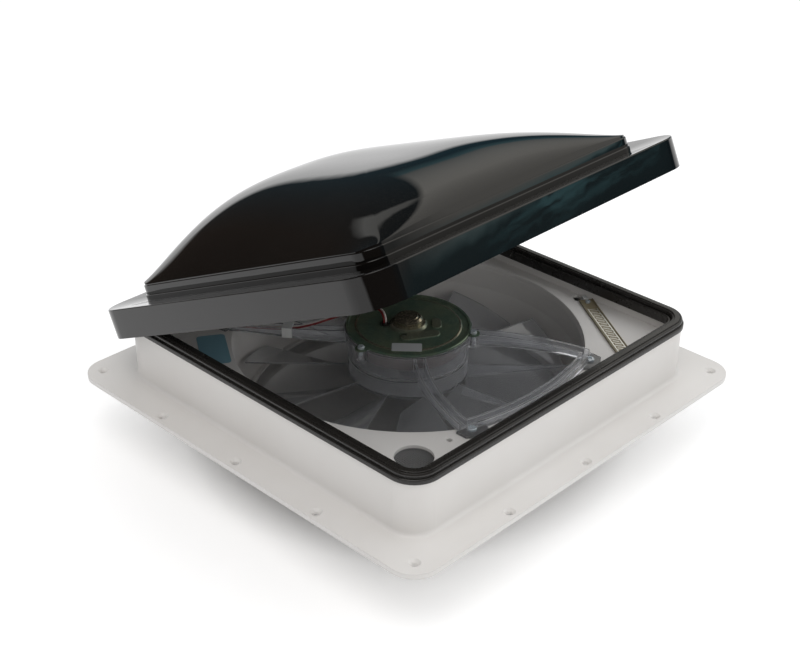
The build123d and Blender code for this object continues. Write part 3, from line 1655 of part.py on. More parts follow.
def lift_worm():
    """A single-start right-hand worm; a gap of its thread faces the wheel with the lid shut."""
    pitch = 2 * math.pi * lift_gear_radius / lift_gear_teeth
    thick = pitch * tooth_share
    root = worm_radius - tooth_height
    tip = worm_radius + tooth_height
    length = pitch * worm_turns
    helix = Helix(pitch=pitch, height=length, radius=root)
    outline = Polyline(
        (root - root_gap, 0, -thread_root_share * thick), (tip, 0, -tooth_tip_share * thick),
        (tip, 0, tooth_tip_share * thick),
        (root - root_gap, 0, thread_root_share * thick), close=True,
    )
    thread = sweep(make_face(outline), path=helix, is_frenet=True)
    core = rod(root, -pitch / 2, length + pitch / 2)
    body = core + thread
    body -= rod(lift_shaft_radius + lift_running_gap, -pitch, length + pitch)
    body = body.rotate(Axis.Z, 90)
    turned = lid_open_angle * arm_turn_ratio * lift_gear_teeth
    body = body.rotate(Axis.Z, turned)
    start = pivot_z - pitch * (worm_turns // 2)
    return body.translate((lift_gear_x, worm_y, start))


def worm_floor():
    return pivot_z - gearbox_floor_gap


def lift_worm_shaft():
    low = knob_top() - lift_knob_height / 2
    top = deck_bottom - gearbox_wall / 2
    shaft = rod(lift_shaft_radius, low, top, lift_gear_x, worm_y)
    return shaft


def gearbox_left():
    return lift_gear_x - gearbox_inner_width / 2 - gearbox_wall


def lift_gearbox():
    left = gearbox_left()
    right = lift_gear_x + gearbox_inner_width / 2 + gearbox_wall
    back = worm_y + gearbox_back_margin
    floor = worm_floor()
    body = slab(left, left + gearbox_wall, gearbox_front_y, back, floor - gearbox_wall, deck_bottom)
    body += slab(right - gearbox_wall, right, gearbox_front_y, back, floor - gearbox_wall, deck_bottom)
    body += slab(left, right, worm_y - gearbox_back_margin, back, floor - gearbox_wall, floor)
    body += slab(left, right, worm_y - gearbox_back_margin / 2, back, deck_bottom - gearbox_wall, deck_bottom)
    body += slab(left, right, back - gearbox_wall, back, floor - gearbox_wall, deck_bottom)
    body += slab(left - gearbox_tab, left + over, worm_y - gearbox_tab / 2, worm_y + gearbox_tab / 2,
                 deck_bottom - gearbox_wall, deck_bottom)
    body += slab(lift_gear_x - gearbox_tab / 2, lift_gear_x + gearbox_tab / 2,
                 back - over, back + gearbox_tab, deck_bottom - gearbox_wall, deck_bottom)
    body -= rod_x(arm_shaft_radius + lift_running_gap, left - over, right + over, pivot_y, pivot_z)
    body -= rod(lift_shaft_radius + lift_running_gap, floor - 2 * gearbox_wall,
                deck_bottom - gearbox_wall / 3, lift_gear_x, worm_y)
    for x, y in gearbox_screw_places():
        body -= rod(small_shank + screw_fit, deck_bottom - 2 * gearbox_wall, deck_bottom + over, x, y)
    return body


def gearbox_screws():
    length = deck_thickness + gearbox_wall
    return group([
        screw(small_head, small_head_height, small_shank, length, x, y, deck_top)
        for x, y in gearbox_screw_places()
    ])


def lift_motor():
    top = worm_floor() - gearbox_wall
    low = top - lift_motor_length
    can = rod(lift_motor_radius, low, top, lift_gear_x, worm_y)
    can = fillet(can.edges().group_by(Axis.Z)[0], lift_motor_radius / 8)
    half = lift_motor_radius * terminal_width_share
    reach = lift_motor_radius * terminal_reach_share
    can += slab(lift_gear_x - half, lift_gear_x + half, worm_y, worm_y + reach, low + 2 * over, low + 8 * over)
    return can - rod(lift_shaft_radius + lift_running_gap, low - over, top + over, lift_gear_x, worm_y)


def knob_top():
    return -neck_depth - lift_knob_gap


def lift_knob():
    top = knob_top()
    low = top - lift_knob_height
    body = rod(lift_knob_radius, low, top)
    body = fillet(body.edges().group_by(Axis.Z)[0], lift_knob_height / 6)
    for n in range(lift_knob_ribs):
        groove = rod(lift_knob_grip, low - over, top + over, lift_knob_radius + lift_knob_grip / 3)
        body -= groove.rotate(Axis.Z, n * 360 / lift_knob_ribs)
    body -= rod(lift_shaft_radius + lift_running_gap, top - lift_knob_height / 2, top + over)
    turned = lid_open_angle * arm_turn_ratio * lift_gear_teeth
    return body.rotate(Axis.Z, turned).translate((lift_gear_x, worm_y, 0))


nodes = {
    "base_moulding": base_moulding,
    "base_neck": base_neck,
    "base_throat": base_throat,
    "base_deck": base_deck,
    "curb_gasket": curb_gasket,
    "motor_bracket": motor_bracket,
    "bracket_screws": bracket_screws,
    "motor_end_plate": motor_end_plate,
    "motor_can": motor_can,
    "motor_magnets": motor_magnets,
    "motor_bearings": motor_bearings,
    "motor_brushes": motor_brushes,
    "motor_screws": motor_screws,
    "motor_label": motor_label,
    "wire_grommet": wire_grommet,
    "red_lead": lambda: lead(-1),
    "white_lead": lambda: lead(1),
    "lead_clip": lead_clip,
    "lead_connector": lead_connector,
    "fan_blade": fan_blade,
    "fan_shaft": fan_shaft,
    "fan_collar": fan_collar,
    "fan_armature": fan_armature,
    "fan_commutator": fan_commutator,
    "screen_frame": screen_frame,
    "insect_screen": insect_screen,
    "screen_clips": screen_clips,
    "screen_clip_screws": screen_clip_screws,
    "inner_cover": inner_cover,
    "inner_cover_screws": inner_cover_screws,
    "control_panel": control_panel,
    "control_board": control_board,
    "corner_vent_screen": corner_vent_screen,
    "rain_sensor_board": rain_sensor_board,
    "rain_sensor_traces": rain_sensor_traces,
    "rain_sensor_fixings": rain_sensor_fixings,
    "rain_sensor_plug": rain_sensor_plug,
    "deck_label": deck_label,
    "hinge_pins": hinge_pins,
    "lid_dome": lid_dome,
    "lid_hinge_leaves": lid_hinge_leaves,
    "lid_hinge_screws": lid_hinge_screws,
    "lid_track": lid_track,
    "lid_track_screws": lid_track_screws,
    "lift_arm": lift_arm,
    "roller_pin": roller_pin,
    "arm_roller": arm_roller,
    "arm_shaft": arm_shaft,
    "lift_gear": lift_gear,
    "lift_worm": lift_worm,
    "lift_worm_shaft": lift_worm_shaft,
    "lift_gearbox": lift_gearbox,
    "gearbox_screws": gearbox_screws,
    "lift_motor": lift_motor,
    "lift_knob": lift_knob,
}
for place, name in zip(button_places(), ("power_button", "lid_button", "speed_button")):
    nodes[name] = lambda x=place: push_button(x)

os.makedirs("parts", exist_ok=True)
for name, make in nodes.items():
    shape = make()
    shape.label = name
    export_step(shape, "parts/" + name + ".step")
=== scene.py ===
import json
import math

import bpy
from mathutils import Matrix, Vector


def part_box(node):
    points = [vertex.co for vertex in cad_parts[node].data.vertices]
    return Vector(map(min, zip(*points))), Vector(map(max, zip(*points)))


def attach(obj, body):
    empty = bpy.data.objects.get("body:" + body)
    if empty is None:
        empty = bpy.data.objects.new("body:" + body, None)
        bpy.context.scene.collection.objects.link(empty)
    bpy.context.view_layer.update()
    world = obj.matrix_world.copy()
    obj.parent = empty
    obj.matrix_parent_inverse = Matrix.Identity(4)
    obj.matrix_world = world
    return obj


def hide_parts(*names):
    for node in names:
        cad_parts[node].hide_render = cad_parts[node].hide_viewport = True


# Caravan roof vent: a glossy black dome lid raised over a clear-bladed fan in a square white base.
# Metres. +Z is up and the origin is the centre of the flange's underside.

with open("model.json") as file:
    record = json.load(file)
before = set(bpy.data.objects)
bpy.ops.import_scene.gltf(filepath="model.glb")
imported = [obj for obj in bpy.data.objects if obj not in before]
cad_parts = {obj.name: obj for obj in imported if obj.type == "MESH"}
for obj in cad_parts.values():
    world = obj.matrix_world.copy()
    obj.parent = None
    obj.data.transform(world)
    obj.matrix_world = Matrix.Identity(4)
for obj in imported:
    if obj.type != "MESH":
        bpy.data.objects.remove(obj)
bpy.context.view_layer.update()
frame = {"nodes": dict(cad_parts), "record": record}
mm = 0.001

# Camera, solved from the photograph's flange, curb and throat
camera_azimuth = -46.058
camera_elevation = 29.776
camera_roll = 0.565
camera_place = Vector((-868.98, -826.45, 732.24)) * mm
camera_lens = 65.25
camera_sensor = 36.0
camera_nearest = 0.05
camera_farthest = 50.0

# Lid, drawn shut, as the solid is, and then swung open about its hinge
lid_open_angle = 25.4
hinge_y = 195.5 * mm
hinge_z = 42.5 * mm
lid_half_width = 204.5 * mm
lid_half_length = 203.4 * mm
lid_middle_y = 1.3 * mm
lid_bottom = 42.2 * mm
lid_skirt_height = 28.5 * mm
lid_corner = 32.0 * mm
lid_wall = 2.0 * mm
lid_rim_width = 2.6 * mm
lid_gutter_depth = 2.7 * mm
plinth_inset = 31.5 * mm
plinth_step = 1.1 * mm
plinth_corner = 20.0 * mm
plinth_lower_height = 5.6 * mm
plinth_upper_height = 8.8 * mm
dome_rise = 52.8 * mm
dome_back_lean = 0.28
dome_side_power = 2.71
dome_end_power = 4.46
dome_rings = 44
lid_edge = 1.1 * mm
lid_edge_steps = 4
notch_half_width = 14.0 * mm
notch_depth = 12.0 * mm
notch_height = 20.0 * mm
notch_top = 48.2 * mm
notch_places = (-110.0 * mm, 110.0 * mm)

# How finely the pieces are modelled, and the small steps that keep their rings apart
side_steps = 28
corner_steps = 10
circle_sides = 96
smooth_angle = math.radians(38)
least_inset = 0.001 * mm
first_inset = 0.02 * mm
first_lift = 0.1 * mm
near_enough = 0.1 * mm

# Curb gasket, on the curb's rim: a band, a groove, a ribbed bulb and an inner lip
gasket_base = 57.0 * mm
gasket_core = 166.0 * mm
gasket_band_half = 192.6 * mm
gasket_band_height = 4.5 * mm
gasket_band_round = 1.1 * mm
gasket_neck_half = 190.65 * mm
gasket_bulb_half = 185.9 * mm
gasket_bulb_reach = 5.4 * mm
gasket_bulb_bottom = 5.4 * mm
gasket_bulb_rise = 4.6 * mm
gasket_bulb_square = 0.72
gasket_ribs = 3
gasket_rib_depth = 0.8 * mm
gasket_rib_sharpness = 4
gasket_bulb_steps = 48
gasket_lip_half = 179.7 * mm
gasket_lip_width = 1.9 * mm
gasket_lip_top = 5.9 * mm
gasket_lip_round = 0.4 * mm
gasket_lip_bottom = -3.3 * mm

# Woven screens
mesh_pitch = 1.6 * mm
mesh_wire = 0.46 * mm
vent_pitch = 1.9 * mm
vent_wire = 0.6 * mm
vent_hole_radius = 17.0 * mm

# Motor plate, golden at its centre by radius, with painted golden highlights on its bead by radius and
# on its boss by height. Here and in the pairs below, the first value is where a thing begins and the
# second is where it is full.
plate_centre = (22.0 * mm, 8.0 * mm)
plate_boss_highlight = (57.2 * mm, 60.6 * mm)
plate_highlight_bead_inside = (48.4 * mm, 49.4 * mm)
plate_highlight_bead_outside = (51.4 * mm, 50.4 * mm)
plate_wander = 16.0 * mm

# Floor, below the hand knob, with painted shade where its glow is left out under the object, and where it
# fades into the backdrop
floor_level = -57.0 * mm
floor_size = 14.0
floor_painted_shade = (0.17, 0.22)
floor_fade = (0.45, 1.3)

# Softboxes: place, width and height, power, colour, and whether glossy surfaces mirror them
lamp_aim = (0, 0, 0.05)
softboxes = {
    "key_softbox": ((-0.7, -0.3, 1.8), (1.2, 1.2), 6.6, (1.0, 0.96, 0.92), True),
    "fill_softbox": ((1.3, -1.1, 0.75), (1.2, 0.8), 1.0, (0.95, 0.98, 1.0), False),
    "front_softbox": ((-0.5, -1.5, 0.7), (0.9, 0.6), 2.0, (1.0, 0.98, 0.95), False),
}

# Sky, by the X and Z of a direction: its rise to the zenith, and a bright side
sky_rise = (-0.1, 0.9)
sky_side = (0.1, 0.7)
sky_side_rise = (-0.1, 0.1)

# Studio that glossy surfaces mirror over the backdrop, by the X, Y and Z of a direction
backdrop_edge = (0.03, -0.02)
wall_cools = (0.2, 0.7)
room_ahead = (-0.1, -0.3)
room_behind = (0.3, 0.4)
tall_box_side = (0.60, 1.5)
tall_box_rise = (0.10, 0.58)
front_box_side = (0.64, 0.68)
front_box_rise = (0.178, 0.188)
box_whitens = (0.178, 0.21)
glint_patches = (0.46, 0.60)
glint_side = (0.68, 0.72)
glint_rise = (0.150, 0.170)
strip_side = (0.055, 0.105)
strip_rise = (0.33, 0.62)
ceiling_rise = (0.80, 0.92)


# Shader node groups

def new_group(name, inputs, outputs):
    """An empty shader group with named sockets."""
    group = bpy.data.node_groups.new(name, "ShaderNodeTree")
    for label, kind, value in inputs:
        socket = group.interface.new_socket(name=label, in_out="INPUT", socket_type="NodeSocket" + kind)
        socket.default_value = value
    for label, kind in outputs:
        group.interface.new_socket(name=label, in_out="OUTPUT", socket_type="NodeSocket" + kind)
    return group, group.nodes.new("NodeGroupInput").outputs, group.nodes.new("NodeGroupOutput").inputs


def add_node(tree, kind, settings=None, **inputs):
    """A node with its settings, and its inputs set to a value or linked to another node's output."""
    node = tree.nodes.new("ShaderNode" + kind)
    for name, value in (settings or {}).items():
        setattr(node, name, value)
    for name, value in inputs.items():
        connect(tree, node.inputs[name.replace("_", " ")], value)
    return node


def connect(tree, socket, value):
    """Links the socket to another node's output, or sets its value."""
    if isinstance(value, bpy.types.NodeSocket):
        tree.links.new(value, socket)
    else:
        socket.default_value = value


def math_node(tree, operation, a, b):
    node = tree.nodes.new("ShaderNodeMath")
    node.operation = operation
    connect(tree, node.inputs[0], a)
    connect(tree, node.inputs[1], b)
    return node.outputs[0]


def mixed_colour(tree, factor, a, b):
    """Colour a where the factor is 0, and b where it is 1."""
    node = tree.nodes.new("ShaderNodeMix")
    node.data_type = "RGBA"
    connect(tree, node.inputs["Factor"], factor)
    connect(tree, node.inputs[6], a)
    connect(tree, node.inputs[7], b)
    return node.outputs[2]


def ramped(tree, value, low, high):
    """Value rescaled so that low gives 0 and high gives 1, clamped."""
    node = tree.nodes.new("ShaderNodeMapRange")
    connect(tree, node.inputs["Value"], value)
    node.inputs["From Min"].default_value = low
    node.inputs["From Max"].default_value = high
    return node.outputs["Result"]


def object_noise(tree, scale, detail, roughness=0.55, stretch=None):
    """Noise fixed to the piece, with its features per metre set by scale."""
    place = tree.nodes.new("ShaderNodeTexCoord").outputs["Object"]
    if stretch:
        place = add_node(tree, "Mapping", Vector=place, Scale=stretch).outputs["Vector"]
    noise = tree.nodes.new("ShaderNodeTexNoise")
    connect(tree, noise.inputs["Vector"], place)
    connect(tree, noise.inputs["Scale"], scale)
    noise.inputs["Detail"].default_value = detail
    noise.inputs["Roughness"].default_value = roughness
    return noise.outputs["Fac"]


def moulded_skin_group():
    """Moulded plastic: a fine grain, slow drifts of tone and faint handling marks."""
    group, given, out = new_group("moulded_skin", [
        ("Colour", "Color", (0.8, 0.8, 0.8, 1)), ("Shade Colour", "Color", (0.7, 0.7, 0.7, 1)),
        ("Grain", "Float", 1500.0), ("Roughness", "Float", 0.4), ("Marks", "Float", 0.08),
    ], [("Colour", "Color"), ("Roughness", "Float"), ("Height", "Float")])
    drift = ramped(group, object_noise(group, scale=7.0, detail=4.0), 0.35, 0.72)
    group.links.new(mixed_colour(group, drift, given["Colour"], given["Shade Colour"]), out["Colour"])
    marks = ramped(group, object_noise(group, scale=34.0, detail=6.0, roughness=0.65), 0.45, 0.75)
    shift = math_node(group, "MULTIPLY", marks, given["Marks"])
    group.links.new(math_node(group, "ADD", given["Roughness"], shift), out["Roughness"])
    group.links.new(object_noise(group, scale=given["Grain"], detail=2.0), out["Height"])
    return group


def settled_dust_group():
    """Fine dust on faces that look up, thicker in patches."""
    group, given, out = new_group("settled_dust", [
        ("Colour", "Color", (0.1, 0.1, 0.1, 1)), ("Dust Colour", "Color", (0.45, 0.42, 0.38, 1)),
        ("Amount", "Float", 0.2),
    ], [("Colour", "Color")])
    normal = group.nodes.new("ShaderNodeNewGeometry").outputs["Normal"]
    up = add_node(group, "SeparateXYZ", Vector=normal).outputs["Z"]
    facing = ramped(group, up, 0.4, 1.0)
    speck = ramped(group, object_noise(group, scale=900.0, detail=5.0, roughness=0.7), 0.56, 0.74)
    patch = ramped(group, object_noise(group, scale=16.0, detail=3.0), 0.3, 0.7)
    dust = math_node(group, "MULTIPLY", math_node(group, "MULTIPLY", facing, speck), patch)
    dust = math_node(group, "MULTIPLY", dust, given["Amount"])
    group.links.new(mixed_colour(group, dust, given["Colour"], given["Dust Colour"]), out["Colour"])
    return group


def metal_skin_group():
    """Plated sheet metal: streaks of tone, fine scratches and a mottled sheen."""
    group, given, out = new_group("metal_skin", [
        ("Colour", "Color", (0.6, 0.6, 0.6, 1)), ("Tint", "Color", (0.5, 0.55, 0.6, 1)),
        ("Roughness", "Float", 0.3), ("Scratches", "Float", 0.1),
    ], [("Colour", "Color"), ("Roughness", "Float"), ("Height", "Float")])
    mottle = ramped(group, object_noise(group, scale=60.0, detail=5.0, roughness=0.6), 0.35, 0.68)
    group.links.new(mixed_colour(group, mottle, given["Colour"], given["Tint"]), out["Colour"])
    fine = object_noise(group, scale=260.0, detail=3.0, roughness=0.6, stretch=(1.0, 14.0, 4.0))
    scratch = math_node(group, "MULTIPLY", ramped(group, fine, 0.4, 0.7), given["Scratches"])
    group.links.new(math_node(group, "ADD", given["Roughness"], scratch), out["Roughness"])
    group.links.new(fine, out["Height"])
    return group


moulded_skin = moulded_skin_group()
settled_dust = settled_dust_group()
metal_skin = metal_skin_group()


# Materials

def new_material(name):
    material = bpy.data.materials.new(name)
    material.use_nodes = True
    tree = material.node_tree
    return material, tree, tree.nodes["Principled BSDF"]


def placed_group(tree, group, **inputs):
    """The outputs of a group placed in a material with its own values."""
    node = tree.nodes.new("ShaderNodeGroup")
    node.node_tree = group
    for name, value in inputs.items():
        connect(tree, node.inputs[name.replace("_", " ")], value)
    return node.outputs


def bumped(tree, shader, height, distance, strength, normal=None):
    """Relief on the shader: a height, how tall it is in metres, and how strongly it shows."""
    bump = add_node(tree, "Bump", Height=height, Distance=distance, Strength=strength)
    if normal is not None:
        tree.links.new(normal, bump.inputs["Normal"])
    tree.links.new(bump.outputs["Normal"], shader.inputs["Normal"])


def rgb(r, g, b):
    return (r, g, b, 1.0)


def plastic(name, colour, shade, roughness=0.4, grain=1500.0, relief=0.02, marks=0.08, dust=0.0, edge=0.0):
    """Opaque moulded plastic. Relief is in millimetres, and edge is the radius of its softened edges."""
    material, tree, shader = new_material(name)
    skin = placed_group(tree, moulded_skin, Colour=rgb(*colour), Shade_Colour=rgb(*shade), Grain=grain,
                        Roughness=roughness, Marks=marks)
    tint = skin["Colour"]
    if dust:
        tint = placed_group(tree, settled_dust, Colour=tint, Amount=dust)["Colour"]
    tree.links.new(tint, shader.inputs["Base Color"])
    tree.links.new(skin["Roughness"], shader.inputs["Roughness"])
    rounded = None
    if edge:
        rounded = add_node(tree, "Bevel", {"samples": 4}, Radius=edge).outputs["Normal"]
    bumped(tree, shader, skin["Height"], relief * mm, 0.6, rounded)
    return material


def metal(name, colour, tint, roughness=0.3, relief=0.02, metallic=1.0):
    """Bare or plated metal. Relief is in millimetres."""
    material, tree, shader = new_material(name)
    skin = placed_group(tree, metal_skin, Colour=rgb(*colour), Tint=rgb(*tint), Roughness=roughness,
                        Scratches=0.12)
    tree.links.new(skin["Colour"], shader.inputs["Base Color"])
    tree.links.new(skin["Roughness"], shader.inputs["Roughness"])
    shader.inputs["Metallic"].default_value = metallic
    bumped(tree, shader, skin["Height"], relief * mm, 0.5)
    return material


def clear_moulding():
    """Clear moulded polycarbonate: faint flow lines and scuffs, and edges that frost over, rougher and
    whitened as a painted edge highlight.
    """
    material, tree, shader = new_material("bracket_clear")
    tint = (0.93, 0.94, 0.965)
    skin = placed_group(tree, moulded_skin, Colour=rgb(*tint), Shade_Colour=rgb(*[c * 0.97 for c in tint]),
                        Grain=60.0, Roughness=0.04, Marks=0.08)
    rounded = add_node(tree, "Bevel", {"samples": 4}, Radius=0.8 * mm).outputs["Normal"]
    facing = tree.nodes.new("ShaderNodeNewGeometry").outputs["Normal"]
    alike = add_node(tree, "VectorMath", {"operation": "DOT_PRODUCT"}, Vector=rounded)
    tree.links.new(facing, alike.inputs[1])
    # Edge mask: roughens the edges as frost, and whitens their colour as a painted highlight.
    frost_and_highlight = ramped(tree, alike.outputs["Value"], 0.998, 0.90)
    tree.links.new(mixed_colour(tree, frost_and_highlight, skin["Colour"], rgb(1, 1, 1)), shader.inputs["Base Color"])
    rough_edge = math_node(tree, "MULTIPLY", frost_and_highlight, 0.35)
    tree.links.new(math_node(tree, "MAXIMUM", skin["Roughness"], rough_edge), shader.inputs["Roughness"])
    shader.inputs["Transmission Weight"].default_value = 0.88
    shader.inputs["IOR"].default_value = 1.5
    bumped(tree, shader, skin["Height"], 0.25 * mm, 0.35)
    return material


def lid_gloss():
    """High-gloss smoke-black acrylic with faint swirl marks and a little dust on top."""
    material, tree, shader = new_material("lid_gloss_black")
    skin = placed_group(tree, moulded_skin, Colour=rgb(0.0035, 0.0032, 0.0030),
                        Shade_Colour=rgb(0.005, 0.0046, 0.0044), Grain=420.0, Roughness=0.012, Marks=0.03)
    dusty = placed_group(tree, settled_dust, Colour=skin["Colour"], Amount=0.10)
    tree.links.new(dusty["Colour"], shader.inputs["Base Color"])
    tree.links.new(skin["Roughness"], shader.inputs["Roughness"])
    shader.inputs["IOR"].default_value = 1.49
    waves = object_noise(tree, scale=22.0, detail=2.0)
    bumped(tree, shader, waves, 0.35 * mm, 0.25)
    return material


def motor_plate_finish():
    """Olive passivated zinc: dark green in the flat, golden at the centre, with painted golden highlights on
    the boss and the bead.
    """
    material, tree, shader = new_material("motor_plate_olive")
    place = tree.nodes.new("ShaderNodeTexCoord").outputs["Object"]
    split = add_node(tree, "SeparateXYZ", Vector=place).outputs
    flat = add_node(tree, "CombineXYZ", X=split["X"], Y=split["Y"]).outputs["Vector"]
    radius = add_node(tree, "VectorMath", {"operation": "LENGTH"}, Vector=flat).outputs["Value"]
    blotch = object_noise(tree, scale=45.0, detail=4.0, roughness=0.6)
    wobble = math_node(tree, "MULTIPLY", math_node(tree, "SUBTRACT", blotch, 0.5), plate_wander)
    reach = math_node(tree, "ADD", radius, wobble)
    centre = ramped(tree, reach, *plate_centre)
    # Painted golden highlight on the boss, by its height.
    boss_highlight = ramped(tree, split["Z"], *plate_boss_highlight)
    gold_and_highlight = math_node(tree, "MAXIMUM", math_node(tree, "MULTIPLY", centre, 0.8), boss_highlight)
    # Painted golden highlight on the bead ring, by radius.
    bead_highlight = math_node(tree, "MULTIPLY", ramped(tree, radius, *plate_highlight_bead_inside),
                     ramped(tree, radius, *plate_highlight_bead_outside))
    gold_and_highlight = math_node(tree, "MAXIMUM", gold_and_highlight, math_node(tree, "MULTIPLY", bead_highlight, 0.7))
    green = mixed_colour(tree, ramped(tree, blotch, 0.35, 0.65), rgb(0.13, 0.20, 0.15),
                         rgb(0.20, 0.25, 0.17))
    tint = mixed_colour(tree, gold_and_highlight, green, rgb(0.52, 0.46, 0.34))
    tree.links.new(tint, shader.inputs["Base Color"])
    shine = math_node(tree, "MULTIPLY", gold_and_highlight, 0.4)
    tree.links.new(math_node(tree, "ADD", shine, 0.5), shader.inputs["Metallic"])
    skin = placed_group(tree, metal_skin, Roughness=0.16, Scratches=0.14)
    tree.links.new(skin["Roughness"], shader.inputs["Roughness"])
    bumped(tree, shader, skin["Height"], 0.02 * mm, 0.4)
    return material


def circuit_board(name, colour, shade):
    """Coated laminate, with the glass weave just showing."""
    material, tree, shader = new_material(name)
    place = tree.nodes.new("ShaderNodeTexCoord").outputs["Object"]
    weave = add_node(tree, "TexWave", {"wave_type": "BANDS", "bands_direction": "DIAGONAL"}, Vector=place,
                     Scale=900.0).outputs["Fac"]
    skin = placed_group(tree, moulded_skin, Colour=rgb(*colour), Shade_Colour=rgb(*shade), Grain=800.0,
                        Roughness=0.32, Marks=0.1)
    thread = rgb(*[c * 0.7 for c in colour])
    tint = mixed_colour(tree, math_node(tree, "MULTIPLY", weave, 0.18), skin["Colour"], thread)
    tree.links.new(tint, shader.inputs["Base Color"])
    tree.links.new(skin["Roughness"], shader.inputs["Roughness"])
    bumped(tree, shader, weave, 0.02 * mm, 0.4)
    return material


def foil_label(name, colour, shade, metallic, roughness):
    """A bare printed label with a soft sheen."""
    material, tree, shader = new_material(name)
    skin = placed_group(tree, moulded_skin, Colour=rgb(*colour), Shade_Colour=rgb(*shade), Grain=2600.0,
                        Roughness=roughness, Marks=0.12)
    tree.links.new(skin["Colour"], shader.inputs["Base Color"])
    tree.links.new(skin["Roughness"], shader.inputs["Roughness"])
    shader.inputs["Metallic"].default_value = metallic
    bumped(tree, shader, skin["Height"], 0.02 * mm, 0.5)
    return material


def ribbed_rubber():
    """Black extruded rubber: fine draw lines along the seal and a dusty bloom."""
    material, tree, shader = new_material("gasket_rubber")
    skin = placed_group(tree, moulded_skin, Colour=rgb(0.014, 0.013, 0.012),
                        Shade_Colour=rgb(0.024, 0.022, 0.020), Grain=1200.0, Roughness=0.26, Marks=0.16)
    dusty = placed_group(tree, settled_dust, Colour=skin["Colour"], Amount=0.06)
    tree.links.new(dusty["Colour"], shader.inputs["Base Color"])
    tree.links.new(skin["Roughness"], shader.inputs["Roughness"])
    place = tree.nodes.new("ShaderNodeTexCoord").outputs["Object"]
    lines = add_node(tree, "TexWave", {"wave_type": "BANDS", "bands_direction": "Z"}, Vector=place,
                     Scale=230.0, Distortion=0.4).outputs["Fac"]
    bumped(tree, shader, lines, 0.12 * mm, 0.5)
    return material


white_shell = plastic("base_white", (0.74, 0.725, 0.705), (0.70, 0.68, 0.655), roughness=0.34, grain=1700.0,
                      relief=0.015, marks=0.10, dust=0.05, edge=0.9 * mm)
materials = {
    "base_plastic": white_shell,
    "black_rubber": ribbed_rubber(),
    "clear_plastic": clear_moulding(),
    "screw_steel": metal("screw_zinc", (0.70, 0.74, 0.77), (0.56, 0.64, 0.70), roughness=0.24, metallic=0.55),
    "motor_plate": motor_plate_finish(),
    "motor_can": plastic("can_enamel", (0.10, 0.055, 0.045), (0.07, 0.04, 0.035), roughness=0.28,
                         relief=0.03),
    "magnet": plastic("magnet_ferrite", (0.07, 0.07, 0.075), (0.10, 0.10, 0.10), roughness=0.55,
                      relief=0.06),
    "steel": metal("ground_steel", (0.58, 0.58, 0.58), (0.50, 0.50, 0.52), roughness=0.22),
    "carbon": plastic("brush_carbon", (0.03, 0.03, 0.03), (0.05, 0.05, 0.05), roughness=0.6),
    "label_silver": foil_label("motor_label_foil", (0.62, 0.64, 0.64), (0.56, 0.58, 0.58), metallic=0.25,
                               roughness=0.34),
    "lead_red": plastic("lead_red_pvc", (0.20, 0.018, 0.018), (0.14, 0.012, 0.012), roughness=0.35,
                        relief=0.03),
    "lead_white": plastic("lead_white_pvc", (0.62, 0.58, 0.55), (0.52, 0.48, 0.45), roughness=0.38,
                          relief=0.03),
    "white_plastic": plastic("white_nylon", (0.66, 0.67, 0.66), (0.60, 0.61, 0.60), roughness=0.42,
                             relief=0.03),
    "black_plastic": plastic("black_moulded", (0.022, 0.022, 0.024), (0.035, 0.035, 0.036), roughness=0.36,
                             relief=0.04),
    "core_steel": metal("core_laminations", (0.30, 0.30, 0.31), (0.22, 0.22, 0.23), roughness=0.42,
                        relief=0.05),
    "copper": metal("commutator_copper", (0.72, 0.36, 0.20), (0.55, 0.26, 0.15), roughness=0.28),
    "screen_mesh": plastic("mesh_fibre", (0.42, 0.415, 0.41), (0.34, 0.34, 0.335), roughness=0.4),
    "panel_grey": plastic("panel_film", (0.17, 0.18, 0.19), (0.14, 0.15, 0.16), roughness=0.45, relief=0.05),
    "board_green": circuit_board("board_mask", (0.02, 0.13, 0.05), (0.015, 0.09, 0.04)),
    "vent_mesh": plastic("vent_mesh_grey", (0.20, 0.20, 0.20), (0.15, 0.15, 0.15), roughness=0.45,
                         relief=0.04),
    "sensor_board": circuit_board("sensor_laminate", (0.27, 0.23, 0.145), (0.22, 0.18, 0.11)),
    "trace_silver": metal("tinned_track", (0.86, 0.86, 0.82), (0.74, 0.74, 0.70), roughness=0.3),
    "label_blue": foil_label("deck_label_film", (0.22, 0.40, 0.48), (0.19, 0.36, 0.44), metallic=0.0,
                             roughness=0.36),
    "lid_black": lid_gloss(),
    "zinc_steel": metal("zinc_sheet", (0.58, 0.59, 0.58), (0.46, 0.48, 0.50), roughness=0.3),
    "black_steel": plastic("blackened_steel", (0.02, 0.02, 0.022), (0.03, 0.03, 0.03), roughness=0.3),
    "gear_nylon": plastic("natural_nylon", (0.66, 0.62, 0.50), (0.60, 0.56, 0.44), roughness=0.4,
                          relief=0.03),
    "brass": metal("worm_brass", (0.70, 0.50, 0.22), (0.56, 0.38, 0.16), roughness=0.24),
    "lift_motor_steel": metal("lift_motor_nickel", (0.42, 0.42, 0.43), (0.36, 0.36, 0.37), roughness=0.26),
    "button_grey": plastic("button_moulded", (0.05, 0.05, 0.055), (0.04, 0.04, 0.045), roughness=0.4,
                           relief=0.04),
}


def dress_frame():
    """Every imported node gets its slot's finish, and the insect screen's ring is white like the throat."""
    slots = {row["node"]: row["material_slot"] for row in frame["record"]["subparts"]}
    for name, node in frame["nodes"].items():
        node.data.materials.clear()
        node.data.materials.append(materials[slots[name]])
    frame["nodes"]["screen_frame"].data.materials[0] = white_shell


# Modelling helpers

def deselect_all():
    """So that an operator or a new primitive is alone."""
    bpy.ops.object.select_all(action="DESELECT")


